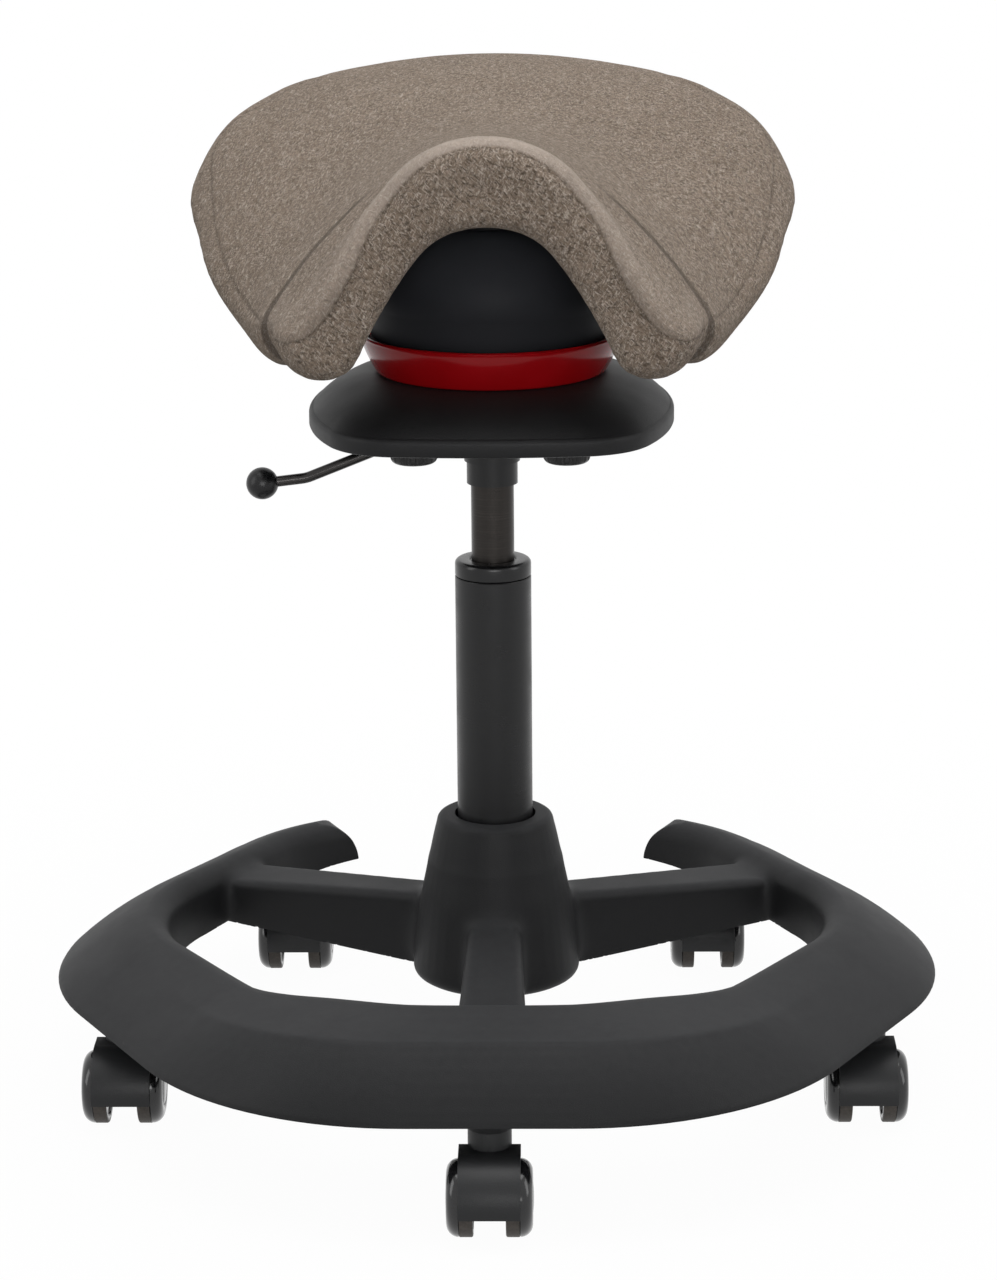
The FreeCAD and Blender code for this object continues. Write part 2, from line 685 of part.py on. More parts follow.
def rounded_square(half, corner_r, height):
    """Level outline of a square with rounded corners."""
    flat = half - corner_r
    corners = ((flat, flat, 0), (-flat, flat, 90), (-flat, -flat, 180), (flat, -flat, 270))
    steps = []
    for x, y, angle in corners:
        steps.append([on_circle((x, y), corner_r, angle)])
        steps.append([on_circle((x, y), corner_r, angle + 45), on_circle((x, y), corner_r, angle + 90)])
    start = steps[-1][-1]
    return wire_through(start, steps, lambda x, y: V(x, y, height))


def lever_slot():
    """Slot through the plate and the socket for the lever to swing in."""
    half = LEVER_BOSS_WIDTH / 2 + LEVER_SLOT_GAP
    low = V(LEVER_PIVOT_X - LEVER_SLOT_END, -half, CYLINDER_TOP_Z - LEVER_R)
    return box(low, V(LEVER_TIP_X + LEVER_R, half, COVER_Z))


def knob_spots():
    """Places of the four hand knobs under the plate."""
    return {
        f"{depth}_{side}": V(KNOB_X * x, KNOB_Y * y, 0)
        for depth, y in (("front", -1), ("rear", 1))
        for side, x in (("left", -1), ("right", 1))
    }


def save_plate():
    """Steel plate with its socket on the cylinder's cone, under the moulded cover."""
    spacer_r = CYLINDER_R + SPACER_WALL
    save("spacer_collar", tube(spacer_r, CYLINDER_R + SEATED_FIT, SPACER_Z, SOCKET_Z))
    cone_end = CYLINDER_R - CYLINDER_CONE * SOCKET_HEIGHT / CYLINDER_CONE_LENGTH
    socket = turned(
        (CYLINDER_R + SEATED_FIT, SOCKET_Z),
        [(CYLINDER_R + SOCKET_WALL, SOCKET_Z)],
        [(CYLINDER_R + SOCKET_WALL, PLATE_Z)],
        [(cone_end + SEATED_FIT, PLATE_Z)],
        [(CYLINDER_R + SEATED_FIT, SOCKET_Z)],
    )
    save("taper_socket", socket.cut(lever_slot()))
    plate = Part.Face(rounded_square(PLATE_HALF, PLATE_CORNER_R, PLATE_Z)).extrude(Z_AXIS * PLATE_THICKNESS)
    studs = []
    holes = [rod(CYLINDER_R, PLATE_Z, COVER_Z), lever_slot()]
    bosses = []
    sockets = []
    for spot in knob_spots().values():
        studs.append(rod(STUD_R, PLATE_Z - STUD_IN_KNOB, COVER_Z + STUD_IN_COVER, spot.x, spot.y))
        holes.append(rod(STUD_R + SEATED_FIT, PLATE_Z, COVER_Z, spot.x, spot.y))
        bosses.append(rod(STUD_BOSS_R, COVER_Z, COVER_TOP_Z, spot.x, spot.y))
        sockets.append(rod(STUD_R + SEATED_FIT, COVER_Z, COVER_Z + STUD_IN_COVER, spot.x, spot.y))
    save("mounting_plate", plate.cut(holes))
    save("knob_studs", Part.makeCompound(studs))
    save_cover(bosses, sockets)


def cover_outline(inset, height):
    """Outline of the cover's edge, drawn in by an inset."""
    return soft_square(
        COVER_HALF - inset, COVER_SIDE_R - inset, COVER_FRONT_R - inset, COVER_CORNER_R - inset, height
    )


def cover_slope(inset, drop):
    """Solid of the cover's swelling slope, from its edge to its round top, drawn in and lowered."""
    sizes = (COVER_HALF, COVER_SIDE_R, COVER_FRONT_R, COVER_CORNER_R)
    edge = [size - COVER_SHOULDER - inset for size in sizes]
    top_r = COVER_TOP_R - inset
    flat_r = top_r * (1 + COVER_TOP_FLATTEN)
    top = (top_r, flat_r, flat_r, top_r * (1 - COVER_TOP_FLATTEN))
    foot_z = COVER_Z + COVER_EDGE - COVER_SHOULDER_DROP
    outlines = [
        soft_square(*blended(edge, top, way_in), between(foot_z, COVER_TOP_Z, way_up) - drop)
        for way_in, way_up in ((0, 0), *COVER_SWELL, (1, 1))
    ]
    return Part.makeLoft(outlines, True, False)


def save_cover(bosses, sockets):
    """Moulded cover: a thick rounded edge and a slope up to the round top, hollow from below."""
    edge_top = COVER_Z + COVER_EDGE
    slab = Part.Face(cover_outline(0, COVER_Z)).extrude(Z_AXIS * COVER_EDGE)
    rim = [edge for edge in slab.Edges if edge.BoundBox.ZMin > edge_top - 1]
    slab = slab.makeFillet(COVER_EDGE_ROUND, rim)
    outside = slab.fuse(cover_slope(0, 0))
    inner_face = Part.Face(cover_outline(COVER_SHOULDER + COVER_WALL, COVER_Z - 1))
    inner_height = COVER_EDGE - COVER_SHOULDER_DROP - COVER_TOP_WALL + 1
    hollow = inner_face.extrude(Z_AXIS * inner_height).fuse(cover_slope(COVER_WALL, COVER_TOP_WALL))
    cover = outside.cut(hollow)
    for boss in bosses:
        cover = cover.fuse(boss.common(outside))
    save("plate_cover", cover.cut(sockets).removeSplitter())


def save_knobs():
    """Four fluted hand knobs on the studs under the plate."""
    low = PLATE_Z - FACE_GAP - KNOB_HEIGHT
    high = PLATE_Z - FACE_GAP
    knob = turned(
        (0, low),
        [(KNOB_R - KNOB_ROUND, low)],
        [on_circle((KNOB_R - KNOB_ROUND, low + KNOB_ROUND), KNOB_ROUND, -45), (KNOB_R, low + KNOB_ROUND)],
        [(KNOB_R, high)],
        [(0, high)],
        [(0, low)],
    )
    flute_circle = KNOB_R + KNOB_FLUTE_R - KNOB_FLUTE_DEPTH
    flutes = []
    for count in range(KNOB_FLUTES):
        x, y = on_circle((0, 0), flute_circle, 360 * count / KNOB_FLUTES)
        flutes.append(rod(KNOB_FLUTE_R, low - 1, high + 1, x, y))
    stud_room = rod(STUD_R + RUNNING_FIT, PLATE_Z - STUD_IN_KNOB - FACE_GAP, high)
    knob = knob.cut(flutes + [stud_room])
    for name, spot in knob_spots().items():
        save(f"knob_{name}", knob.translated(spot))


def lever_point(x):
    """Point on the lever's straight stretch, which slopes up towards the release pin."""
    return V(x, 0, LEVER_AXIS_Z + LEVER_SLOPE * x)


def save_lever():
    """Bent release lever with its ball, on a pin between the two ears of a bracket under the plate."""
    tip = lever_point(LEVER_TIP_X)
    bend = lever_point(LEVER_BEND_X)
    ball = V(LEVER_BALL_X, 0, bend.z - LEVER_R)
    inward = (tip - bend).normalize()
    outward = (ball - bend).normalize()
    half_turn = (math.pi - inward.getAngle(outward)) / 2
    tangent = LEVER_BEND_R * math.tan(half_turn)
    centre_way = (inward + outward).normalize()
    middle = bend + centre_way * (LEVER_BEND_R / math.cos(half_turn) - LEVER_BEND_R)
    path = Part.Wire(
        [
            Part.LineSegment(tip, bend + inward * tangent).toShape(),
            Part.Arc(bend + inward * tangent, middle, bend + outward * tangent).toShape(),
            Part.LineSegment(bend + outward * tangent, ball).toShape(),
        ]
    )
    circle = Part.Wire(Part.makeCircle(LEVER_R, tip, inward))
    pivot = lever_point(LEVER_PIVOT_X)
    boss = cross_rod(LEVER_BOSS_R, LEVER_BOSS_WIDTH / 2, pivot, Y_AXIS)
    lever = path.makePipeShell([circle], True, False).fuse(boss)
    lever = lever.cut(cross_rod(LEVER_PIN_R + RUNNING_FIT, LEVER_BOSS_WIDTH, pivot, Y_AXIS))
    knob = Part.makeSphere(LEVER_BALL_R, ball)
    neck = Part.makeCylinder(LEVER_R + SEATED_FIT, 2 * LEVER_BALL_R, ball, outward * -1)
    save("lever_rod", lever)
    save("lever_ball", knob.cut(neck))
    ear_y = LEVER_BOSS_WIDTH / 2 + LEVER_SLOT_GAP
    save("lever_pivot", cross_rod(LEVER_PIN_R, ear_y + BRACKET_WALL, pivot, Y_AXIS))
    bracket = box(
        V(-BRACKET_LENGTH / 2, -ear_y - BRACKET_WALL, -BRACKET_DROP),
        V(BRACKET_LENGTH / 2, ear_y + BRACKET_WALL, 0),
    )
    strap_x = BRACKET_WALL - BRACKET_LENGTH / 2
    below_strap = box(V(-BRACKET_LENGTH, -ear_y, -BRACKET_DROP), V(strap_x, ear_y, -BRACKET_STRAP))
    beside_strap = box(V(strap_x, -ear_y, -BRACKET_DROP), V(BRACKET_LENGTH, ear_y, 0))
    bracket = bracket.cut([below_strap, beside_strap]).translated(V(pivot.x, 0, PLATE_Z))
    pin_hole = cross_rod(LEVER_PIN_R + SEATED_FIT, 2 * LEVER_BOSS_WIDTH, pivot, Y_AXIS)
    save("lever_bracket", bracket.cut(pin_hole))


def save_balance():
    """Post with a cup for the pivot ball, and the dished wheel that turns round the post."""
    neck_z = COVER_TOP_Z + POST_HEIGHT
    ball_place = V(0, 0, BALL_Z)
    cup = Part.makeSphere(BALL_R + CUP_GAP, ball_place)
    post = rod(POST_R, COVER_TOP_Z, neck_z).fuse(rod(POST_NECK_R, neck_z, neck_z + POST_NECK_HEIGHT))
    save("balance_post", post.removeSplitter().cut(cup))
    save("pivot_ball", Part.makeSphere(BALL_R, ball_place))
    bore = POST_R + RUNNING_FIT
    floor = BALANCE_Z + BALANCE_WALL
    hub_r = bore + BALANCE_HUB_WALL
    flare = (BALANCE_RIM_R - BALANCE_FOOT_R) * BALANCE_FLARE
    inner_foot = BALANCE_FOOT_R - BALANCE_WALL
    middle_z = BALANCE_Z + BALANCE_HEIGHT / 2
    wheel = turned(
        (bore, BALANCE_Z),
        [(BALANCE_FOOT_R, BALANCE_Z)],
        [(BALANCE_FOOT_R + flare, middle_z), (BALANCE_RIM_R, BALANCE_TOP_Z)],
        [(BALANCE_RIM_R - BALANCE_WALL, BALANCE_TOP_Z)],
        [(inner_foot + flare, middle_z), (inner_foot, floor)],
        [(hub_r, floor)],
        [(hub_r, BALANCE_Z + BALANCE_HUB_HEIGHT)],
        [(bore, BALANCE_Z + BALANCE_HUB_HEIGHT)],
        [(bore, BALANCE_Z)],
    )
    save("balance_wheel", wheel)
    save("balance_buffer", tube(BUFFER_OUTER_R, BUFFER_INNER_R, floor, floor + BUFFER_HEIGHT))


def screw_spots():
    """Places of the screws that hold the dome to the shell."""
    return [V(x * SCREW_SPACING, y * SCREW_SPACING, 0) for x in (-1, 1) for y in (-1, 1)]


def dome_outside(gap):
    """Solid inside the dome's outer face, moved outwards by a gap but level with its top."""
    belly_r, belly_rise = DOME_BELLY
    return turned(
        (0, DOME_Z),
        [(DOME_R + gap, DOME_Z)],
        [(DOME_R + gap, DOME_Z + DOME_SKIRT)],
        [(belly_r + gap, DOME_Z + belly_rise), (DOME_TOP_R + gap, DOME_TOP_Z)],
        [(0, DOME_TOP_Z)],
        [(0, DOME_Z)],
    )


def dome_inside():
    """Hollow of the dome, open below."""
    belly_r, belly_rise = DOME_BELLY
    ceiling_z = DOME_TOP_Z - DOME_WALL
    belly = (belly_r - DOME_WALL, DOME_Z + belly_rise - DOME_WALL / 2)
    return turned(
        (0, DOME_Z - 1),
        [(DOME_R - DOME_WALL, DOME_Z - 1)],
        [(DOME_R - DOME_WALL, DOME_Z + DOME_SKIRT)],
        [belly, (DOME_TOP_R - DOME_WALL / 2, ceiling_z)],
        [(0, ceiling_z)],
        [(0, DOME_Z - 1)],
    )


def save_dome():
    """Dome under the seat, and the block inside it that sits on the pivot ball."""
    ceiling_z = DOME_TOP_Z - DOME_WALL
    hole_r = SCREW_R + SEATED_FIT
    holes = [rod(hole_r, ceiling_z - 1, DOME_TOP_Z + 1, spot.x, spot.y) for spot in screw_spots()]
    save("seat_dome", dome_outside(0).cut([dome_inside()] + holes))
    cup = Part.makeSphere(BALL_R + CUP_GAP, V(0, 0, BALL_Z))
    save("seat_socket", rod(POST_NECK_R, BALL_Z + CUP_OPENING, ceiling_z).cut(cup))


def bowed(start, end, bow):
    """Arc between two points whose middle stands to the right of the way by the bow."""
    way = end - start
    side = V(way.z, 0, -way.x).normalize()
    return Part.Arc(start, (start + end) * 0.5 + side * bow, end).toShape()


def mirrored(point):
    """The same point on the left side of the seat."""
    return V(-point.x, point.y, point.z)


class PadSection:
    """Corner points of one upright section of the pad."""

    def __init__(self, row):
        y, crown, shoulder_x, shoulder_z, edge_x, edge_z, self.bow, nose, inset = row
        lean = V(inset, 0, inset) * PAD_LEAN
        under_x, under_z = blended(WING_SHOULDER_INSET, NOSE_SHOULDER_INSET, nose)
        rim_x, rim_z = blended(WING_RIM, NOSE_RIM, nose)
        rim = V(-rim_x, 0, -rim_z)
        thickness = between(WING_THICKNESS, NOSE_THICKNESS, nose)
        edge = V(edge_x, y, SEAT_Z + edge_z)
        self.crown = V(0, y, SEAT_Z + crown - inset)
        self.under_crown = V(0, y, SEAT_Z + crown + inset - thickness)
        self.shoulder = V(shoulder_x, y, SEAT_Z + shoulder_z) - lean
        self.under_shoulder = V(shoulder_x - under_x, y, SEAT_Z + shoulder_z - under_z) + lean
        self.edge = edge - lean
        self.under_edge = edge + rim + lean
        drop = between(WING_DROP, NOSE_DROP, nose) - inset
        self.rim_low = edge + rim * 0.5 + V(WING_RIM_FLARE * WING_DROP * (1 - nose), 0, -drop)

    def pad_wire(self):
        """Closed outline of the pad: over the crown, round the rims and back under the arch."""
        low_left = mirrored(self.rim_low)
        return Part.Wire(
            [
                bowed(self.edge, self.shoulder, self.bow),
                Part.Arc(self.shoulder, self.crown, mirrored(self.shoulder)).toShape(),
                bowed(mirrored(self.shoulder), mirrored(self.edge), self.bow),
                Part.Arc(mirrored(self.edge), low_left, mirrored(self.under_edge)).toShape(),
                bowed(mirrored(self.under_edge), mirrored(self.under_shoulder), -PAD_UNDER_BOW),
                Part.Arc(mirrored(self.under_shoulder), self.under_crown, self.under_shoulder).toShape(),
                bowed(self.under_shoulder, self.under_edge, -PAD_UNDER_BOW),
                Part.Arc(self.under_edge, self.rim_low, self.edge).toShape(),
            ]
        )

    def shell_wire(self):
        """Closed outline of the shell, which follows the pad's underside and stops short of its rim."""
        bow = PAD_UNDER_BOW * SHELL_REACH**2
        under = (self.under_crown, self.under_shoulder, self.under_edge)
        top = [point - Z_AXIS * SEAT_GAP for point in under]
        top[2] = between(top[1], top[2], SHELL_REACH)
        low = [point - Z_AXIS * SHELL_THICKNESS for point in top]
        return Part.Wire(
            [
                bowed(top[2], top[1], bow),
                Part.Arc(top[1], top[0], mirrored(top[1])).toShape(),
                bowed(mirrored(top[1]), mirrored(top[2]), bow),
                Part.LineSegment(mirrored(top[2]), mirrored(low[2])).toShape(),
                bowed(mirrored(low[2]), mirrored(low[1]), -bow),
                Part.Arc(mirrored(low[1]), low[0], low[1]).toShape(),
                bowed(low[1], low[2], -bow),
                Part.LineSegment(low[2], top[2]).toShape(),
            ]
        )


def save_seat():
    """Upholstered pad with a slit behind each nose flap, on its moulded shell."""
    sections = [PadSection(row) for row in PAD_ROWS]
    pad = Part.makeLoft([section.pad_wire() for section in sections], True, False)
    far = 2 * PAD_ROWS[6][4]
    for side in (-1, 1):
        near = V(SLIT_START_X if side > 0 else -far, SLIT_Y - SLIT_WIDTH / 2, SEAT_Z - far)
        pad = pad.cut(box(near, near + V(far - SLIT_START_X, SLIT_WIDTH, 2 * far)))
    save("saddle_pad", pad)
    shell = Part.makeLoft([section.shell_wire() for section in sections], True, False)
    shell = shell.common(box(V(-far, SHELL_FRONT_Y, SEAT_Z - far), V(far, SHELL_BACK_Y, SEAT_Z + far)))
    shell = shell.cut(dome_outside(SEAT_GAP))
    shell = shell.fuse(rod(SHELL_BOSS_R, DOME_TOP_Z, DOME_TOP_Z + SHELL_BOSS_HEIGHT))
    head_top = DOME_TOP_Z - DOME_WALL
    screw_top = DOME_TOP_Z + SCREW_IN_SHELL
    screws = []
    for spot in screw_spots():
        head = rod(SCREW_HEAD_R, head_top - SCREW_HEAD_HEIGHT, head_top, spot.x, spot.y)
        shank = rod(SCREW_R, head_top, screw_top, spot.x, spot.y)
        screws.append(head.fuse(shank))
        shell = shell.cut(rod(SCREW_R + SEATED_FIT, DOME_TOP_Z - 1, screw_top + FACE_GAP, spot.x, spot.y))
    save("seat_shell", shell)
    save("dome_screws", Part.makeCompound(screws))


def main():
    """Build every piece and write it."""
    os.makedirs("parts", exist_ok=True)
    save_casters()
    save_base()
    save_column()
    save_gas_spring()
    save_plate()
    save_knobs()
    save_lever()
    save_balance()
    save_dome()
    save_seat()


main()
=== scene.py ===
import json
import math

import bmesh
import bpy
import numpy as np
from mathutils import Matrix, Vector
from mathutils.bvhtree import BVHTree
from mathutils.kdtree import KDTree


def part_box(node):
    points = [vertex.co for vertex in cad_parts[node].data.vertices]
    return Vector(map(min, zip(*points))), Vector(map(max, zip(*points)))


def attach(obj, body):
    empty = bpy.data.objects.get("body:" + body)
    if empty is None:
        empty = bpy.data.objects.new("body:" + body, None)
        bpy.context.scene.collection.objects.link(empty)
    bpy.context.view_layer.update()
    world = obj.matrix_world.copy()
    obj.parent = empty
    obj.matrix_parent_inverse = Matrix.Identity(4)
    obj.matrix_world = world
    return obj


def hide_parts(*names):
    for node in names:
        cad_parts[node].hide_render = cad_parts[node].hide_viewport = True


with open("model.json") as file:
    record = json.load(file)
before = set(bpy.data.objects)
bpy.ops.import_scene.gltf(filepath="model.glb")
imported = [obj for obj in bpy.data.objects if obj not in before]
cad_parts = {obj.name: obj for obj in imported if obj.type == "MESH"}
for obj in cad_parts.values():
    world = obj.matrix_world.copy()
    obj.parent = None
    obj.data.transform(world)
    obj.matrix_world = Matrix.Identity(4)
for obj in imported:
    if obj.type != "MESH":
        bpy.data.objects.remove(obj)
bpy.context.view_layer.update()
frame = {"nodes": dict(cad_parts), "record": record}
NODES = frame["nodes"]
CASTERS = ("front", "front_right", "rear_right", "rear_left", "front_left")


# Node trees

def place(tree, kind, inputs=None, **settings):
    """A node in a tree, with its settings, and its inputs set to values or joined to sockets."""
    node = tree.nodes.new(kind)
    for name, value in settings.items():
        setattr(node, name, value)
    for key, value in (inputs or {}).items():
        if isinstance(value, bpy.types.NodeSocket):
            tree.links.new(value, node.inputs[key])
        else:
            node.inputs[key].default_value = value
    return node


def noise(tree, vector, scale, detail=2.0, roughness=0.5, curl=0.0):
    """Value of a noise texture of that many features per metre."""
    inputs = {"Vector": vector, "Scale": scale, "Detail": detail, "Roughness": roughness, "Distortion": curl}
    return place(tree, "ShaderNodeTexNoise", inputs).outputs["Fac"]


def stretch(tree, value, low, high, to_low=0.0, to_high=1.0):
    """Value carried from one range to another, and held at its ends."""
    inputs = {"Value": value, "From Min": low, "From Max": high, "To Min": to_low, "To Max": to_high}
    return place(tree, "ShaderNodeMapRange", inputs, clamp=True).outputs["Result"]


def sums(tree, operation, first, second):
    """Two values added, multiplied and so on."""
    return place(tree, "ShaderNodeMath", {0: first, 1: second}, operation=operation).outputs[0]


def tint(tree, share, first, second, blend="MIX"):
    """Colour part of the way from the first to the second."""
    inputs = {"Factor": share, "A": first, "B": second}
    node = place(tree, "ShaderNodeMix", data_type="RGBA", blend_type=blend)
    for key, value in inputs.items():
        socket = next(s for s in node.inputs if s.name == key and s.enabled)
        if isinstance(value, bpy.types.NodeSocket):
            tree.links.new(value, socket)
        else:
            socket.default_value = value
    return next(s for s in node.outputs if s.enabled)


def object_place(tree):
    """Object coordinates, in metres."""
    return place(tree, "ShaderNodeTexCoord").outputs["Object"]


def new_group(name, inputs, outputs):
    """Empty node group with its sockets, and its two end nodes."""
    tree = bpy.data.node_groups.new(name, "ShaderNodeTree")
    for label, kind, value in inputs:
        socket = tree.interface.new_socket(label, in_out="INPUT", socket_type=kind)
        socket.default_value = value
    for label, kind in outputs:
        tree.interface.new_socket(label, in_out="OUTPUT", socket_type=kind)
    return tree, tree.nodes.new("NodeGroupInput").outputs, tree.nodes.new("NodeGroupOutput").inputs


def moulded_grain():
    """Moulded plastic: pebbled grain, slow mottling, and faces that look up made paler, partly by dust and partly
    by painted top light, as light from above would lighten them.
    """
    tree, given, out = new_group(
        "moulded_grain",
        (
            ("Colour", "NodeSocketColor", (0.02, 0.02, 0.02, 1)),
            ("Dust and Top Light Colour", "NodeSocketColor", (0.08, 0.08, 0.08, 1)),
            ("Dust and Top Light", "NodeSocketFloat", 0.3),
            ("Grain Scale", "NodeSocketFloat", 900.0),
            ("Roughness", "NodeSocketFloat", 0.5),
        ),
        (("Colour", "NodeSocketColor"), ("Roughness", "NodeSocketFloat"), ("Height", "NodeSocketFloat")),
    )
    where = object_place(tree)
    pebbles = place(
        tree, "ShaderNodeTexVoronoi", {"Vector": where, "Scale": given["Grain Scale"]}, feature="SMOOTH_F1"
    ).outputs["Distance"]
    speck = noise(tree, where, 2600.0, 3.0, 0.6)
    mottle = noise(tree, where, 34.0, 4.0, 0.6)
    streak = noise(tree, where, 160.0, 3.0, 0.6)
    normal = place(tree, "ShaderNodeNewGeometry").outputs["Normal"]
    up = place(tree, "ShaderNodeSeparateXYZ", {0: normal}).outputs["Z"]
    # Faces that look up are made paler: partly dust, partly painted top light.
    dust_and_top_light_mask = sums(tree, "MULTIPLY", stretch(tree, up, 0.4, 1.0), stretch(tree, streak, 0.2, 0.8, 0.6, 0.9))
    share = sums(tree, "MULTIPLY", dust_and_top_light_mask, given["Dust and Top Light"])
    specked = sums(tree, "ADD", mottle, sums(tree, "MULTIPLY", speck, 0.8))
    shade = stretch(tree, specked, 0.55, 1.25, 0.88, 1.12)
    grained = tint(tree, 1.0, given["Colour"], shade, "MULTIPLY")
    tree.links.new(tint(tree, share, grained, given["Dust and Top Light Colour"]), out["Colour"])
    rough = sums(tree, "ADD", given["Roughness"], stretch(tree, mottle, 0.3, 0.7, -0.03, 0.04))
    tree.links.new(sums(tree, "ADD", rough, sums(tree, "MULTIPLY", share, 0.3)), out["Roughness"])
    tree.links.new(sums(tree, "ADD", pebbles, sums(tree, "MULTIPLY", speck, 0.4)), out["Height"])
    return tree


def rubbed_metal():
    """Coated or bare metal: fine scratches round the part, soft smears and small pits."""
    tree, given, out = new_group(
        "rubbed_metal",
        (
            ("Colour", "NodeSocketColor", (0.02, 0.02, 0.02, 1)),
            ("Worn Colour", "NodeSocketColor", (0.08, 0.08, 0.08, 1)),
            ("Wear", "NodeSocketFloat", 0.3),
            ("Roughness", "NodeSocketFloat", 0.3),
        ),
        (("Colour", "NodeSocketColor"), ("Roughness", "NodeSocketFloat"), ("Height", "NodeSocketFloat")),
    )
    where = object_place(tree)
    along = place(tree, "ShaderNodeMapping", {"Vector": where, "Scale": (40.0, 40.0, 3200.0)}).outputs[0]
    scratches = noise(tree, along, 1.0, 3.0, 0.65)
    smears = noise(tree, where, 45.0, 4.0, 0.55)
    pits = noise(tree, where, 1900.0, 2.0, 0.5)
    worn = sums(tree, "MULTIPLY", stretch(tree, scratches, 0.52, 0.75), given["Wear"])
    tree.links.new(tint(tree, worn, given["Colour"], given["Worn Colour"]), out["Colour"])
    rough = sums(tree, "ADD", given["Roughness"], stretch(tree, smears, 0.3, 0.7, -0.05, 0.1))
    rough = sums(tree, "ADD", rough, stretch(tree, scratches, 0.3, 0.8, -0.03, 0.08))
    tree.links.new(rough, out["Roughness"])
    tree.links.new(sums(tree, "ADD", scratches, sums(tree, "MULTIPLY", pits, 0.5)), out["Height"])
    return tree


def plain_material(name, **fixed):
    """Material with a Principled shader whose fixed values are set on its own sockets."""
    material = bpy.data.materials.new(name)
    material.use_nodes = True
    shader = material.node_tree.nodes["Principled BSDF"]
    for key, value in fixed.items():
        shader.inputs[key.replace("_", " ")].default_value = value
    return material, material.node_tree, shader


def raise_grain(tree, shader, height, strength, depth):
    """Bump of a height on the shader's normal."""
    bump = place(tree, "ShaderNodeBump", {"Height": height, "Strength": strength, "Distance": depth})
    tree.links.new(bump.outputs["Normal"], shader.inputs["Normal"])


def dressed(name, group, values, strength, depth, **fixed):
    """Material whose colour, roughness and bump come from a shared group."""
    material, tree, shader = plain_material(name, **fixed)
    made = place(tree, "ShaderNodeGroup", node_tree=group)
    for key, value in values.items():
        made.inputs[key].default_value = value
    tree.links.new(made.outputs["Colour"], shader.inputs["Base Color"])
    tree.links.new(made.outputs["Roughness"], shader.inputs["Roughness"])
    raise_grain(tree, shader, made.outputs["Height"], strength, depth)
    return material


GRAIN = moulded_grain()
RUBBED = rubbed_metal()


def plastic(name, colour, dust_and_top_light_colour, dust_and_top_light, scale, roughness, strength, depth, shine):
    """Moulded plastic with its own colour, dust with painted top light, grain and gloss."""
    values = {
        "Colour": (*colour, 1), "Dust and Top Light Colour": (*dust_and_top_light_colour, 1), "Dust and Top Light": dust_and_top_light,
        "Grain Scale": scale, "Roughness": roughness,
    }
    return dressed(name, GRAIN, values, strength, depth, Specular_IOR_Level=shine)


def metal(name, colour, worn, wear, roughness, metallic, shine):
    """Metal with its own colour, wear and gloss."""
    values = {"Colour": (*colour, 1), "Worn Colour": (*worn, 1), "Wear": wear, "Roughness": roughness}
    return dressed(name, RUBBED, values, 0.12, 0.0002, Metallic=metallic, Specular_IOR_Level=shine)


FIBRES_ACROSS = 1350    # fibres of felt per metre, side by side
FIBRES_ALONG = 280      # and end to end


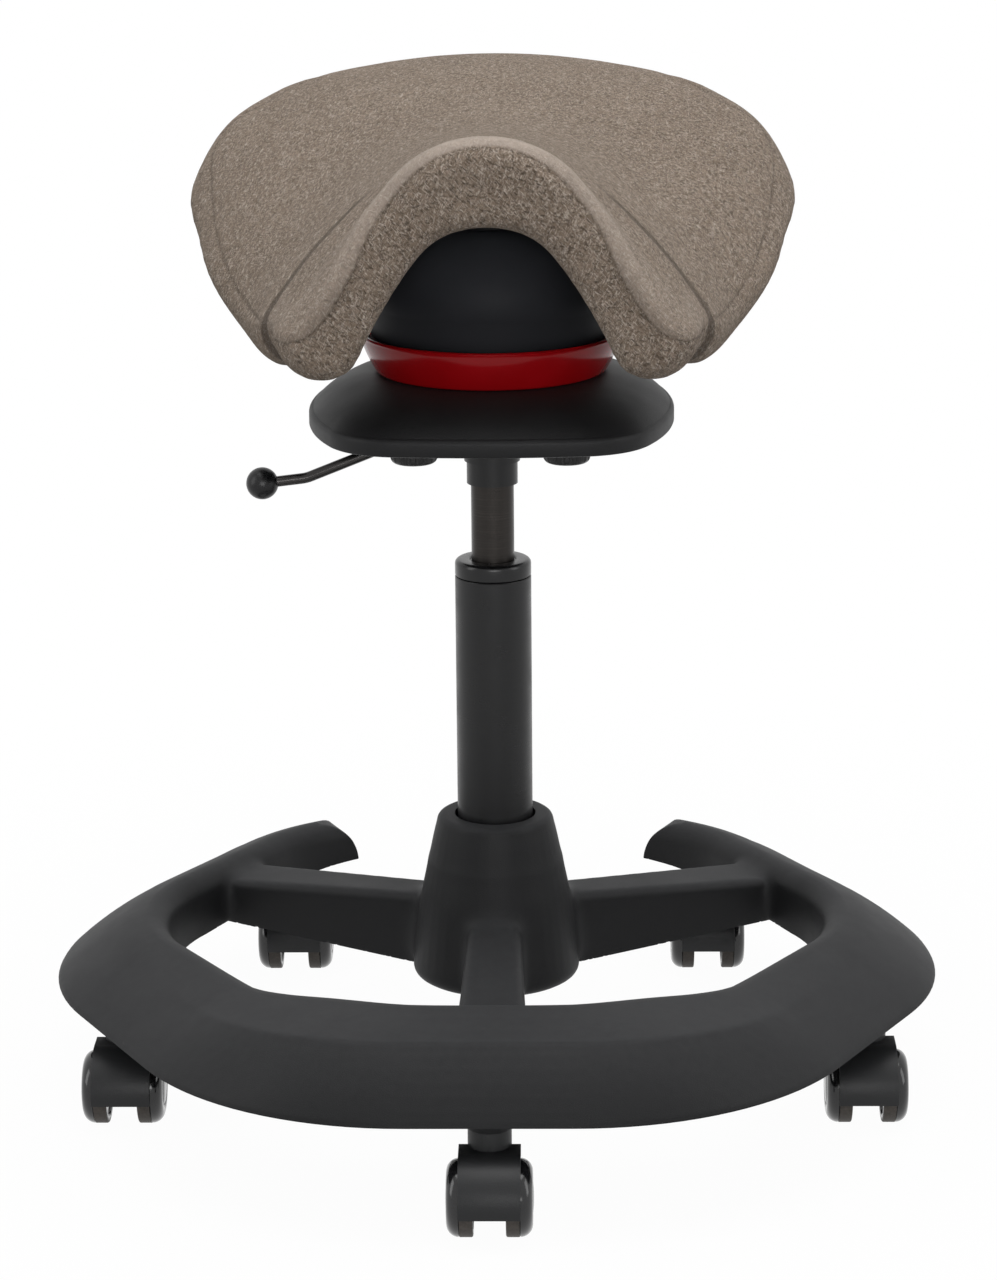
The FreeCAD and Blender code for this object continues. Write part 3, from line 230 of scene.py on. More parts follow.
def felt_material():
    """Taupe wool felt: crossing pale and dark fibres, soft pilling, a painted highlight that makes it paler along
    the taut ridge of the nose, dark seams, and painted shade in the slits.
    """
    material, tree, shader = plain_material(
        "taupe_wool_felt", Sheen_Weight=0.16, Sheen_Roughness=0.5, Sheen_Tint=(0.95, 0.88, 0.8, 1),
        Specular_IOR_Level=0.1,
    )
    where = object_place(tree)
    fields = []
    for lean, turn, size in (
        (-0.62, 0.78, 1.0), (-0.2, 2.36, 1.1), (0.5, 0.1, 0.95),
        (-0.62, -0.78, 1.05), (-0.5, 1.47, 0.9), (0.6, 2.43, 1.15),
    ):
        thin, wide = 1 / (FIBRES_ACROSS * size), 1 / (FIBRES_ALONG * size)
        inputs = {"Vector": where, "Rotation": (0, lean, turn), "Scale": (thin, wide, wide)}
        laid = place(tree, "ShaderNodeMapping", inputs, vector_type="TEXTURE").outputs[0]
        fields.append(stretch(tree, noise(tree, laid, 1.0, 1.0, 0.5, 0.5), 0.56, 0.72))
    pale = sums(tree, "MAXIMUM", sums(tree, "MAXIMUM", fields[0], fields[1]), fields[2])
    dark = sums(tree, "MAXIMUM", sums(tree, "MAXIMUM", fields[3], fields[4]), fields[5])
    patches = noise(tree, where, 26.0, 3.0, 0.55)
    pills = noise(tree, where, 420.0, 3.0, 0.65)
    clouds = noise(tree, where, 110.0, 3.0, 0.6)
    ground = tint(tree, stretch(tree, patches, 0.3, 0.7), (0.26, 0.198, 0.15, 1), (0.32, 0.25, 0.193, 1))
    ground = tint(tree, stretch(tree, clouds, 0.4, 0.68, 0.0, 0.5), ground, (0.185, 0.14, 0.104, 1))
    ground = tint(tree, stretch(tree, pills, 0.35, 0.68, 0.0, 0.6), ground, (0.17, 0.128, 0.094, 1))
    # Painted highlight: this mark paints the nose's rolled ridge paler; where it goes below nought, on front
    # faces, the fibres' colour contrast rises as if grazing light caught them.
    taut_and_highlight = place(tree, "ShaderNodeAttribute", attribute_name="taut_and_highlight").outputs["Fac"]
    fibre_contrast = stretch(tree, taut_and_highlight, -1.0, 1.0, 1.1, 0.7)
    pale_colour, dark_colour = (0.6, 0.515, 0.44, 1), (0.062, 0.045, 0.031, 1)
    for fibres, strength, colour in ((pale, 0.8, pale_colour), (dark, 0.76, dark_colour)):
        share = sums(tree, "MULTIPLY", sums(tree, "MULTIPLY", fibres, strength), fibre_contrast)
        ground = tint(tree, share, ground, colour)
    ground = tint(tree, sums(tree, "MULTIPLY", taut_and_highlight, 0.64), ground, (0.56, 0.475, 0.41, 1))
    # Seams are marked dark, and the slits get painted shade.
    seam_and_slit_shade = place(tree, "ShaderNodeAttribute", attribute_name="seam_and_slit_shade").outputs["Fac"]
    ground = tint(tree, sums(tree, "MULTIPLY", seam_and_slit_shade, 0.7), ground, (0.05, 0.036, 0.026, 1))
    tree.links.new(ground, shader.inputs["Base Color"])
    tree.links.new(stretch(tree, pills, 0.3, 0.7, 0.88, 1.0), shader.inputs["Roughness"])
    fuzz = sums(tree, "ADD", sums(tree, "SUBTRACT", pale, sums(tree, "MULTIPLY", dark, 0.6)), pills)
    raise_grain(tree, shader, sums(tree, "MULTIPLY", fuzz, fibre_contrast), 0.75, 0.001)
    return material


def wheel_material():
    """Caster wheel: glossy black sides, and a scuffed brown-grey tread where the mesh is marked as tread."""
    material, tree, shader = plain_material(
        "caster_wheel_black", Coat_Roughness=0.08, Specular_IOR_Level=0.35
    )
    where = object_place(tree)
    tread = place(tree, "ShaderNodeAttribute", attribute_name="tread").outputs["Fac"]
    scuff = noise(tree, where, 240.0, 4.0, 0.65)
    side = tint(tree, stretch(tree, scuff, 0.4, 0.8), (0.008, 0.008, 0.009, 1), (0.016, 0.016, 0.017, 1))
    band = tint(tree, stretch(tree, scuff, 0.35, 0.65), (0.05, 0.042, 0.036, 1), (0.105, 0.092, 0.08, 1))
    tree.links.new(tint(tree, tread, side, band), shader.inputs["Base Color"])
    gloss = stretch(tree, scuff, 0.3, 0.8, 0.13, 0.24)
    matt = sums(tree, "MULTIPLY", tread, 0.4)
    tree.links.new(sums(tree, "ADD", gloss, matt), shader.inputs["Roughness"])
    tree.links.new(stretch(tree, tread, 0.0, 1.0, 0.35, 0.0), shader.inputs["Coat Weight"])
    raise_grain(tree, shader, sums(tree, "MULTIPLY", scuff, tread), 0.2, 0.0004)
    return material


def dome_material():
    """Blue-black satin of the dome, with painted light: darker towards its foot and lighter towards its top,
    where the saddle shades it.
    """
    material = plastic(
        "dome_blue_black", (0.03, 0.031, 0.036), (0.03, 0.03, 0.033), 0.05, 2200.0, 0.55, 0.12, 0.0002, 0.08
    )
    tree = material.node_tree
    grain = next(node for node in tree.nodes if node.type == "GROUP")
    height = place(tree, "ShaderNodeSeparateXYZ", {0: object_place(tree)}).outputs["Z"]
    low, high = (end[2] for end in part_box("seat_dome"))
    # Painted light: the colour runs from darker at the foot to lighter at the top.
    share = stretch(tree, height, low + 0.02, high)
    colour = tint(tree, share, (0.015, 0.0155, 0.018, 1), (0.042, 0.0435, 0.05, 1))
    tree.links.new(colour, grain.inputs["Colour"])
    return material


def red_material():
    """Deep red gloss of the balance wheel, with faint swirls in its polish."""
    material, tree, shader = plain_material("balance_wheel_red", Specular_IOR_Level=0.16)
    where = object_place(tree)
    cloud = noise(tree, where, 30.0, 3.0, 0.5)
    swirl = noise(tree, where, 700.0, 2.0, 0.5)
    ground = tint(tree, stretch(tree, cloud, 0.3, 0.7), (0.29, 0.002, 0.004, 1), (0.34, 0.003, 0.006, 1))
    tree.links.new(ground, shader.inputs["Base Color"])
    tree.links.new(stretch(tree, swirl, 0.3, 0.7, 0.1, 0.17), shader.inputs["Roughness"])
    raise_grain(tree, shader, swirl, 0.02, 0.0002)
    return material


FINISHES = {
    "base_plastic": plastic(
        "base_moulding_black", (0.0108, 0.011, 0.0118), (0.07, 0.071, 0.074),
        0.52, 1400.0, 0.5, 0.22, 0.0003, 0.18,
    ),
    "cover_plastic": plastic(
        "plate_cover_black", (0.008, 0.008, 0.0086), (0.035, 0.034, 0.033),
        0.14, 1300.0, 0.5, 0.3, 0.0003, 0.2,
    ),
    "dome_plastic": dome_material(),
    "collar_plastic": plastic(
        "guide_collar_black", (0.005, 0.005, 0.0055), (0.03, 0.03, 0.03),
        0.1, 2600.0, 0.22, 0.06, 0.0002, 0.35,
    ),
    "inner_plastic": plastic(
        "inner_black", (0.008, 0.008, 0.008), (0.035, 0.035, 0.035),
        0.2, 1200.0, 0.6, 0.3, 0.0003, 0.2,
    ),
    "grip_plastic": plastic(
        "grip_black", (0.006, 0.006, 0.0065), (0.03, 0.03, 0.03),
        0.12, 2400.0, 0.32, 0.15, 0.0002, 0.3,
    ),
    "caster_plastic": plastic(
        "caster_hood_charcoal", (0.0085, 0.009, 0.01), (0.045, 0.045, 0.047),
        0.25, 1500.0, 0.4, 0.22, 0.0003, 0.35,
    ),
    "buffer_rubber": plastic(
        "buffer_rubber_black", (0.009, 0.009, 0.009), (0.04, 0.04, 0.04),
        0.3, 1700.0, 0.75, 0.3, 0.0003, 0.2,
    ),
    "column_steel": metal("column_black", (0.007, 0.007, 0.0076), (0.02, 0.02, 0.021), 0.25, 0.3, 0.0, 0.32),
    "dark_steel": metal(
        "cylinder_black_bronze", (0.029, 0.026, 0.024), (0.09, 0.08, 0.072), 0.3, 0.28, 0.85, 0.4
    ),
    "lever_steel": metal("lever_black_chrome", (0.04, 0.038, 0.037), (0.12, 0.11, 0.11), 0.2, 0.2, 0.9, 0.4),
    "bright_steel": metal("bright_steel", (0.52, 0.52, 0.53), (0.34, 0.33, 0.32), 0.5, 0.3, 1.0, 0.5),
    "seat_fabric": felt_material(),
    "seat_thread": metal(
        "sewing_thread_umber", (0.1, 0.077, 0.058), (0.17, 0.135, 0.105), 0.5, 0.8, 0.0, 0.1
    ),
    "wheel_plastic": wheel_material(),
    "balance_red": red_material(),
}


# Meshes

def grid_mesh(name, points, close_rows=False, close_columns=False):
    """Mesh of a grid of points; rows or columns may close on themselves, and rows of one point are poles."""
    rows, columns = points.shape[:2]
    row_count = rows if close_rows else rows - 1
    column_count = columns if close_columns else columns - 1
    i, j = np.meshgrid(np.arange(row_count), np.arange(column_count), indexing="ij")
    below, right = (i + 1) % rows, (j + 1) % columns
    quads = np.stack([i * columns + j, i * columns + right, below * columns + right, below * columns + j], -1)
    mesh = bpy.data.meshes.new(name)
    mesh.from_pydata(points.reshape(-1, 3).tolist(), [], quads.reshape(-1, 4).tolist())
    whole = bmesh.new()
    whole.from_mesh(mesh)
    bmesh.ops.remove_doubles(whole, verts=whole.verts, dist=1e-7)
    bmesh.ops.recalc_face_normals(whole, faces=whole.faces)
    whole.to_mesh(mesh)
    whole.free()
    return mesh


def piece(name, mesh, body, finish, slot, *stands_for, sharp=35):
    """Object of a mesh that rides on a body, in a finish, and stands for CAD nodes."""
    mesh.materials.clear()
    mesh.materials.append(FINISHES[finish])
    mesh.polygons.foreach_set("use_smooth", np.ones(len(mesh.polygons), bool))
    if sharp:
        mesh.set_sharp_from_angle(angle=math.radians(sharp))
    obj = bpy.data.objects.new(name, mesh)
    bpy.context.scene.collection.objects.link(obj)
    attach(obj, body)
    if stands_for:
        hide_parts(*stands_for)
    return obj


def vertex_places(mesh):
    """Vertex coordinates of a mesh as an array."""
    flat = np.empty(3 * len(mesh.vertices))
    mesh.vertices.foreach_get("co", flat)
    return flat.reshape(-1, 3)


def vertex_normals(mesh):
    """Vertex normals of a mesh as an array."""
    flat = np.empty(3 * len(mesh.vertices))
    mesh.vertices.foreach_get("normal", flat)
    return flat.reshape(-1, 3)


def mark(mesh, label, values):
    """Values, one per vertex, kept in a mesh for its finish."""
    mesh.attributes.new(label, "FLOAT", "POINT").data.foreach_set("value", values.astype(np.float32))


def set_places(mesh, places):
    """Coordinates put back into a mesh."""
    mesh.vertices.foreach_set("co", places.ravel())
    mesh.update()


def arc_through(first, middle, last, count):
    """Points at even angles on the circle through three points of a plane."""
    first, middle, last = (np.array(p, float) for p in (first, middle, last))
    sides = 2 * np.array([middle - first, last - first])
    centre = np.linalg.solve(sides, [middle @ middle - first @ first, last @ last - first @ first])
    angles = np.unwrap([math.atan2(*(p - centre)[::-1]) for p in (first, middle, last)])
    turn = np.linspace(angles[0], angles[2], count)
    return centre + np.linalg.norm(first - centre) * np.stack([np.cos(turn), np.sin(turn)], 1)


def rounded(corners, count=5):
    """Outline through corners of (x, y, fillet): a fillet is an arc tangent to both sides of its corner."""
    line = []
    places = [np.array(c[:2], float) for c in corners]
    for k, here in enumerate(places):
        fillet = corners[k][2]
        if not fillet:
            line.append(here[None])
            continue
        back = places[k - 1] - here
        on = places[(k + 1) % len(places)] - here
        back, on = back / np.linalg.norm(back), on / np.linalg.norm(on)
        half = math.acos(np.clip(back @ on, -1, 1)) / 2
        reach = fillet / math.tan(half)
        way = (back + on) / np.linalg.norm(back + on)
        peak = here + way * (fillet / math.sin(half) - fillet)
        line.append(arc_through(here + back * reach, peak, here + on * reach, count))
    return np.concatenate(line)


def lathe(name, outline, origin=(0, 0, 0), axis="Z", steps=128):
    """Outline of (radius, height) carried round an axis: origin, plus height along the axis, plus radius
    times (cos u, sin u) across it."""
    turn = np.linspace(0, 2 * np.pi, steps, endpoint=False)
    across = outline[:, :1] * np.cos(turn), outline[:, :1] * np.sin(turn)
    along = np.repeat(outline[:, 1:], steps, 1)
    first, second = across
    order = {"Z": (first, second, along), "X": (along, first, second), "-X": (-along, second, first)}
    points = np.stack(order[axis], -1) + np.array(origin)
    closed = np.allclose(outline[0], outline[-1])
    return grid_mesh(name, points[:-1] if closed else points, close_rows=closed, close_columns=True)


def modified(mesh, *modifiers):
    """Mesh after modifiers, each given as a kind and its settings."""
    obj = bpy.data.objects.new("bench", mesh)
    bpy.context.scene.collection.objects.link(obj)
    for kind, settings in modifiers:
        modifier = obj.modifiers.new(kind.lower(), kind)
        for key, value in settings.items():
            setattr(modifier, key, value)
    ready = obj.evaluated_get(bpy.context.evaluated_depsgraph_get())
    result = bpy.data.meshes.new_from_object(ready)
    bpy.data.objects.remove(obj)
    return result


def cad_copy(node):
    """Copy of a CAD node's mesh with its loose triangles joined."""
    mesh = NODES[node].data.copy()
    whole = bmesh.new()
    whole.from_mesh(mesh)
    bmesh.ops.remove_doubles(whole, verts=whole.verts, dist=2e-6)
    whole.to_mesh(mesh)
    whole.free()
    return mesh


def bell(value, middle, width):
    """Bell curve of a value: one at its middle, a third a width away."""
    return np.exp(-(((value - middle) / width) ** 2))


def evened(mesh, values, shares):
    """Rows of values, one per vertex, moved in turn by each share of the way to their neighbours' mean."""
    edges = np.empty(2 * len(mesh.edges), int)
    mesh.edges.foreach_get("vertices", edges)
    a, b = edges.reshape(-1, 2).T
    total = len(values)
    count = np.maximum(np.bincount(edges, minlength=total), 1)
    for share in shares:
        mean = [np.bincount(a, v[b], total) + np.bincount(b, v[a], total) for v in values.T]
        values = values + share * (np.stack(mean, 1) / count[:, None] - values)
    return values


def relaxed(mesh, rounds, pull=0.5, push=-0.53):
    """Mesh smoothed without shrinking: each round moves points to, then from, their neighbours' mean."""
    set_places(mesh, evened(mesh, vertex_places(mesh), (pull, push) * rounds))
    return mesh


EDGE_STEP = 0.0004      # between the points that stand for an edge


def crisped(mesh, solid, reach, angle):
    """Mesh whose points near an outward edge of the solid are drawn onto that edge, which stays straight.
    An edge counts if its faces meet at more than an angle, in degrees."""
    whole = bmesh.new()
    whole.from_mesh(solid)
    ends = [
        [tuple(v.co) for v in edge.verts] for edge in whole.edges
        if len(edge.link_faces) == 2 and edge.is_convex and edge.calc_face_angle() > math.radians(angle)
    ]
    whole.free()
    ends = np.array(ends)
    places = vertex_places(mesh)
    start, way = ends[:, 0], ends[:, 1] - ends[:, 0]
    counts = [max(2, int(length / EDGE_STEP)) for length in np.linalg.norm(way, axis=1)]
    steps = [np.linspace(0, 1, count)[:, None] for count in counts]
    line = np.concatenate([s + w * t for s, w, t in zip(start, way, steps)])
    tree = KDTree(len(line))
    for k, point in enumerate(line):
        tree.insert(point, k)
    tree.balance()
    near = [tree.find(point) for point in places]
    away = np.array([hit[2] for hit in near])
    goal = line[np.array([hit[1] for hit in near])]
    share = np.clip((1.75 * reach - away) / (0.75 * reach), 0, 1)[:, None]
    set_places(mesh, places + share * (goal - places))
    return mesh


def filleted(mesh, weight, rounds):
    """Mesh whose hollow corners fill up: each round, points move towards their neighbours' mean where that
    lies outside them."""
    places = vertex_places(mesh)
    for turn in range(rounds):
        if turn % 20 == 0:
            set_places(mesh, places)
            normals = vertex_normals(mesh)
        move = evened(mesh, places, (0.5,)) - places
        places = places + move * (weight * ((move * normals).sum(1) > 1e-6))[:, None]
    set_places(mesh, places)
    return mesh


# Base and casters

BASE_VOXEL = 0.0016
BASE_EDGE_ANGLE = 50
BASE_FACES = 95000
CORNER_FILL = 0.007     # how far the ring's inner front corners are filled
WAIST_DRAW = 0.0018     # how far the hub's bend is drawn in
WAIST_DROP = 0.0315     # from the hub's top to the bend


def ramp(value, start, end):
    """Nought at the start, one at the end, and held beyond them."""
    return np.clip((value - start) / (end - start), 0, 1)


def make_base():
    """Base moulding: the CAD solid with every meeting of hub, arms and ring softened into a fillet."""
    solid = cad_copy("base_moulding")
    mesh = modified(solid, ("REMESH", {"mode": "VOXEL", "voxel_size": BASE_VOXEL}))
    mesh = crisped(relaxed(mesh, 22), solid, BASE_VOXEL, BASE_EDGE_ANGLE)
    places = vertex_places(mesh)
    out = np.hypot(places[:, 0], places[:, 1])
    round_front = np.arctan2(np.abs(places[:, 0]), -places[:, 1])
    corner = CORNER_FILL * bell(round_front, math.radians(30), 0.2) * ramp(out, 0.255, 0.22) * (out > 0.15)
    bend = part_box("base_moulding")[1][2] - WAIST_DROP
    waist = WAIST_DRAW * bell(places[:, 2], bend, 0.016) * (out > 0.036) * (out < 0.07)
    places[:, :2] *= (1 - (corner + waist) / out)[:, None]
    set_places(mesh, places)
    mesh = filleted(mesh, ramp(out, 0.043, 0.051) * ramp(out, 0.236, 0.224), 160)
    mesh = modified(mesh, ("DECIMATE", {"ratio": min(1.0, BASE_FACES / len(mesh.polygons))}))
    piece("foot_ring_base", mesh, "base", "base_plastic", "base_plastic", "base_moulding", sharp=48)


def make_hoods():
    """Caster hoods: the CAD solid with bevelled edges."""
    for corner in CASTERS:
        node = f"caster_{corner}_hood"
        bevel = {"width": 0.0011, "segments": 3, "limit_method": "ANGLE", "angle_limit": math.radians(28)}
        mesh = modified(cad_copy(node), ("BEVEL", bevel))
        piece(f"hood_{corner}", mesh, f"caster_{corner}", "caster_plastic", "caster_plastic", node)


WHEEL_SHOULDER = 0.008
WHEEL_BORE_R = 0.00306


def wheel_outline(radius, width, bore):
    """Outline of a wheel from its bore over the tread and the round shoulder to its capped side."""
    shoulder = WHEEL_SHOULDER
    round_side = arc_through(
        (radius - 0.0001, width - shoulder + 0.0006),
        (radius - shoulder * 0.293, width - shoulder * 0.293),
        (radius - shoulder, width), 12,
    )
    inner = rounded((
        (0.0, width - 0.004, 0), (bore, width - 0.004, 0), (bore, 0, 0), (0.0085, 0, 0), (0.0092, 0.0012, 0),
        (0.0192, 0.0012, 0), (0.02, 0, 0), (radius, 0, 0.0011), (radius, width - shoulder - 0.0002, 0),
        (radius - 0.0005, width - shoulder + 0.0001, 0),
    ))
    side = np.array([
        (radius - 0.0095, width - 0.0001), (radius - 0.0108, width - 0.0004),
        (radius - 0.0114, width - 0.001), (radius - 0.012, width - 0.001), (radius - 0.0125, width - 0.0004),
        (radius - 0.0135, width), (0.005, width + 0.0005), (0.0, width + 0.0006),
    ])
    return np.concatenate([inner, round_side, side])


def make_wheels():
    """Ten caster wheels, each a profile carried round its axle, with the tread marked for its finish."""
    for corner in CASTERS:
        for side, axis in (("left", "-X"), ("right", "X")):
            node = f"caster_{corner}_wheel_{side}"
            low, high = (np.array(end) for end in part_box(node))
            centre = (low + high) / 2
            radius, width = (high[2] - low[2]) / 2, high[0] - low[0]
            inner_x = low[0] if axis == "X" else high[0]
            middle = (inner_x, centre[1], centre[2])
            outline = wheel_outline(radius, width, WHEEL_BORE_R)
            mesh = lathe(f"wheel_{corner}_{side}", outline, middle, axis, 88)
            away = vertex_places(mesh) - np.array(middle)
            on_tread = np.hypot(away[:, 1], away[:, 2]) > radius - 0.0012
            on_tread &= np.abs(away[:, 0]) < width - WHEEL_SHOULDER + 0.0001
            mark(mesh, "tread", on_tread)
            piece(f"wheel_{corner}_{side}", mesh, node, "wheel_plastic", "wheel_plastic", node, sharp=40)


# Mechanism

def cover_reach(turn, half, side_r, front_r, corner_r):
    """Distance from the middle to a square with bowed sides and round corners, at an angle: where the ray
    leaves the side's, the corner's or the front's circle, whichever holds that angle."""
    c, s = np.abs(np.cos(turn)), np.abs(np.sin(turn))
    side, front = np.array((half - side_r, 0.0)), np.array((0.0, half - front_r))
    way = front - side
    span = np.linalg.norm(way)
    near = side_r - corner_r
    along = (span**2 + near**2 - (front_r - corner_r) ** 2) / (2 * span)
    way = way / span
    corner = side + way * along + np.array((-way[1], way[0])) * math.sqrt(near**2 - along**2)

    def leave(centre, radius):
        middle = c * centre[0] + s * centre[1]
        return middle + np.sqrt(np.maximum(middle**2 - centre @ centre + radius**2, 0))

    def bearing(centre):
        point = corner + (corner - centre) / np.linalg.norm(corner - centre) * corner_r
        return math.atan2(point[1], point[0])

    angle = np.arctan2(s, c)
    reach = np.where(angle < bearing(side), leave(side, side_r), leave(corner, corner_r))
    return np.where(angle > bearing(front), leave(front, front_r), reach)


def make_cover():
    """Plate cover: rings from the round top down a swelling slope to a bowed square with a rounded rim, and
    back inside. The slope's height is the curve of the fourth degree through five shares of the way in and up."""
    low, high = (end[2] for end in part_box("plate_cover"))
    edge_top, bend, shoulder = low + 0.012, 0.004, 0.0025
    edge, crown = np.array((0.118, 0.21, 0.5, 0.05)), 0.076 * np.array((1, 1.03, 1.03, 0.97))
    swell = np.polyfit((0, 0.256, 0.575, 0.84, 1), (0, 0.423, 0.763, 0.949, 1), 4)
    turn = np.linspace(0, 2 * np.pi, 288, endpoint=False)
    rings = []
    for share in np.linspace(1, 0, 34):
        height = edge_top - 0.0005 + (high - edge_top + 0.0005) * np.polyval(swell, share)
        rings.append(((edge - shoulder) * (1 - share) + crown * share, height))
    for lean in np.linspace(math.asin(1 - shoulder / bend), np.pi / 2, 9):
        rings.append((edge - bend * (1 - math.sin(lean)), edge_top - bend + bend * math.cos(lean)))
    rim = ((0, 0.0016), (0.0005, 0.0005), (0.0016, 0), (0.006, 0), (0.0065, 0.0006), (0.0065, 0.0065))
    for inset, height in rim:
        rings.append((edge - inset, low + height))
    rings.append((crown - 0.004, high - 0.005))
    rows = []
    for sizes, height in rings:
        reach = cover_reach(turn, *sizes)
        rows.append(np.stack([reach * np.cos(turn), reach * np.sin(turn), np.full_like(turn, height)], 1))
    top = np.stack([np.zeros_like(turn), np.zeros_like(turn), np.full_like(turn, high)], 1)
    ceiling = top - np.array((0, 0, 0.005))
    mesh = grid_mesh("plate_cover_shell", np.stack([top] + rows + [ceiling]), close_columns=True)
    piece("plate_cover_shell", mesh, "mechanism", "cover_plastic", "base_plastic", "plate_cover", sharp=40)


def make_balance_wheel():
    """Balance wheel: a flank that flares by a share of its height plus a bulge, a round lip, a dished inside."""
    low, high = (end[2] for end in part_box("balance_wheel"))
    foot, rim, wall = 0.074, 0.085, 0.0032
    t = np.linspace(0, 1, 28)
    flare = (rim - foot) * (t + 0.48 * t * (1 - t))
    rise = low + (high - low) * t
    outer = np.stack([foot + flare, rise], 1)
    inner = np.stack([foot - wall + flare, rise], 1)[::-1]
    lip = arc_through(outer[-2] + (0.0003, 0), (rim - wall / 2, high + 0.0004), inner[1], 9)
    inner = inner[inner[:, 1] > low + wall + 0.001]
    dish = rounded((
        (foot - wall + 0.0012, low + wall, 0.002), (0.0351, low + wall, 0.0015), (0.0351, low + 0.012, 0.001),
        (0.03006, low + 0.012, 0), (0.03006, low, 0), (foot - 0.0012, low, 0),
        (foot - 0.0003, low + 0.0003, 0),
    ))
    outline = np.concatenate([outer[1:-2], lip, inner[2:], dish, outer[1:2]])
    mesh = lathe("balance_ring", outline, steps=192)
    piece("balance_ring", mesh, "balance", "balance_red", "balance_red", "balance_wheel", sharp=45)


def make_dome():
    """Dome: an upright skirt, then the arc of the CAD solid's belly, with a rounded lip and an inner wall."""
    low, high = (end[2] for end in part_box("seat_dome"))
    radius, skirt, wall = 0.0775, low + 0.019, 0.004
    outside = arc_through((radius, skirt), (0.072, low + 0.052), (0.044, high), 44)
    inside = arc_through((0.042, high - wall), (0.068, low + 0.05), (radius - wall, skirt), 30)
    inner = radius - wall
    corners = ((inner, skirt, 0), (inner, low, 0.0012), (radius, low, 0.0014), (radius, skirt, 0))
    lip = rounded(corners)[1:-1]
    outline = np.concatenate([[(0.0, high - wall)], inside, lip, outside, [(0.0, high)]])
    mesh = lathe("dome_shell", outline, steps=192)
    piece("dome_shell", mesh, "seat", "dome_plastic", "dome_plastic", "seat_dome", sharp=45)


def make_column():
    """Stand tube with a chamfered top, and the guide whose rounded collar stands on it over a fine groove."""
    low, high = (end[2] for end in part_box("column_tube"))
    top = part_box("guide_bush")[1][2]
    tube = np.array([
        (0.0051, low), (0.0239, low), (0.025, low + 0.09), (0.025, high - 0.0009), (0.0246, high - 0.0003),
        (0.0225, high - 0.0003), (0.0225, low + 0.004), (0.0051, low + 0.004), (0.0051, low),
    ])
    mesh = lathe("stand_tube", tube)
    piece("stand_tube", mesh, "base", "column_steel", "column_steel", "column_tube", sharp=30)
    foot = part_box("guide_bush")[0][2]
    guide = rounded((
        (0.01406, foot, 0), (0.02247, foot, 0), (0.02247, high, 0), (0.0243, high, 0),
        (0.025, high + 0.0008, 0.0003), (0.025, top, 0.003), (0.0156, top, 0.0008), (0.0149, top - 0.0012, 0),
        (0.01406, top - 0.0014, 0),
    ))
    guide = np.concatenate([guide, guide[:1]])
    mesh = lathe("guide_collar", guide)
    piece("guide_collar", mesh, "base", "collar_plastic", "base_plastic", "guide_bush", sharp=30)


# Saddle

WING_SEAM = (
    (0.0, 0.1585, 0.6635), (0.04, 0.158, 0.6625), (0.078, 0.154, 0.6585), (0.108, 0.144, 0.6535),
    (0.13, 0.13, 0.6485), (0.15, 0.1165, 0.6405), (0.166, 0.115, 0.6315), (0.177, 0.111, 0.6225),
    (0.1825, 0.101, 0.614), (0.1845, 0.088, 0.604), (0.1838, 0.07, 0.594), (0.181, 0.05, 0.582),
    (0.177, 0.031, 0.5705), (0.172, 0.013, 0.56), (0.166, -0.005, 0.5495), (0.159, -0.024, 0.54),
    (0.151, -0.049, 0.533), (0.144, -0.073, 0.531), (0.139, -0.0905, 0.531), (0.134, -0.0985, 0.533),
)
NOSE_SEAM = (
    (0.0, -0.1505, 0.6455), (0.0135, -0.1505, 0.6437), (0.027, -0.1503, 0.6385), (0.0395, -0.1503, 0.63),
    (0.0505, -0.1505, 0.619), (0.06, -0.151, 0.6065), (0.067, -0.152, 0.595), (0.0725, -0.1535, 0.5845),
    (0.0785, -0.1545, 0.573), (0.0858, -0.1555, 0.5605), (0.0945, -0.156, 0.547), (0.1035, -0.156, 0.5365),
    (0.112, -0.155, 0.5305), (0.119, -0.15, 0.5285), (0.1245, -0.139, 0.5285), (0.128, -0.126, 0.5285),
    (0.131, -0.112, 0.5285),
)


def smooth_line(points, count):
    """Even points on the curve through given points: each span is a cubic whose end slopes are half the
    chords between its ends' neighbours."""
    p = np.array(points, float)
    ends = np.concatenate([[2 * p[0] - p[1]], p, [2 * p[-1] - p[-2]]])
    t = np.linspace(0, 1, 12, endpoint=False)[:, None, None]
    a, b, c, d = ends[:-3], ends[1:-2], ends[2:-1], ends[3:]
    spans = 0.5 * (2 * b + (c - a) * t + (2 * a - 5 * b + 4 * c - d) * t**2 + (3 * b - a - 3 * c + d) * t**3)
    fine = np.concatenate([spans.transpose(1, 0, 2).reshape(-1, 3), p[-1:]])
    run = np.concatenate([[0], np.cumsum(np.linalg.norm(np.diff(fine, axis=0), axis=1))])
    even = np.linspace(0, run[-1], count)
    return np.stack([np.interp(even, run, fine[:, k]) for k in range(3)], 1)


def both_sides(points):
    """A line that starts on the middle plane, run from its mirror image's end to its own."""
    p = np.array(points, float)
    return np.concatenate([p[:0:-1] * (-1, 1, 1), p])


def seam_offset(places, line, facing, block=3000):
    """Distance from each place to the nearest point of a finely stepped line, and how far it lies to the
    line's left. Places are taken a block at a time, to save memory."""
    left = np.cross(facing, np.gradient(line, axis=0))
    left /= np.linalg.norm(left, axis=1)[:, None]
    away, aside = [], []
    for k in range(0, len(places), block):
        part = places[k:k + block]
        near = ((part[:, None] - line[None]) ** 2).sum(-1).argmin(1)
        step = part - line[near]
        away.append(np.linalg.norm(step, axis=1))
        aside.append((step * left[near]).sum(1))
    return np.concatenate(away), np.concatenate(aside)


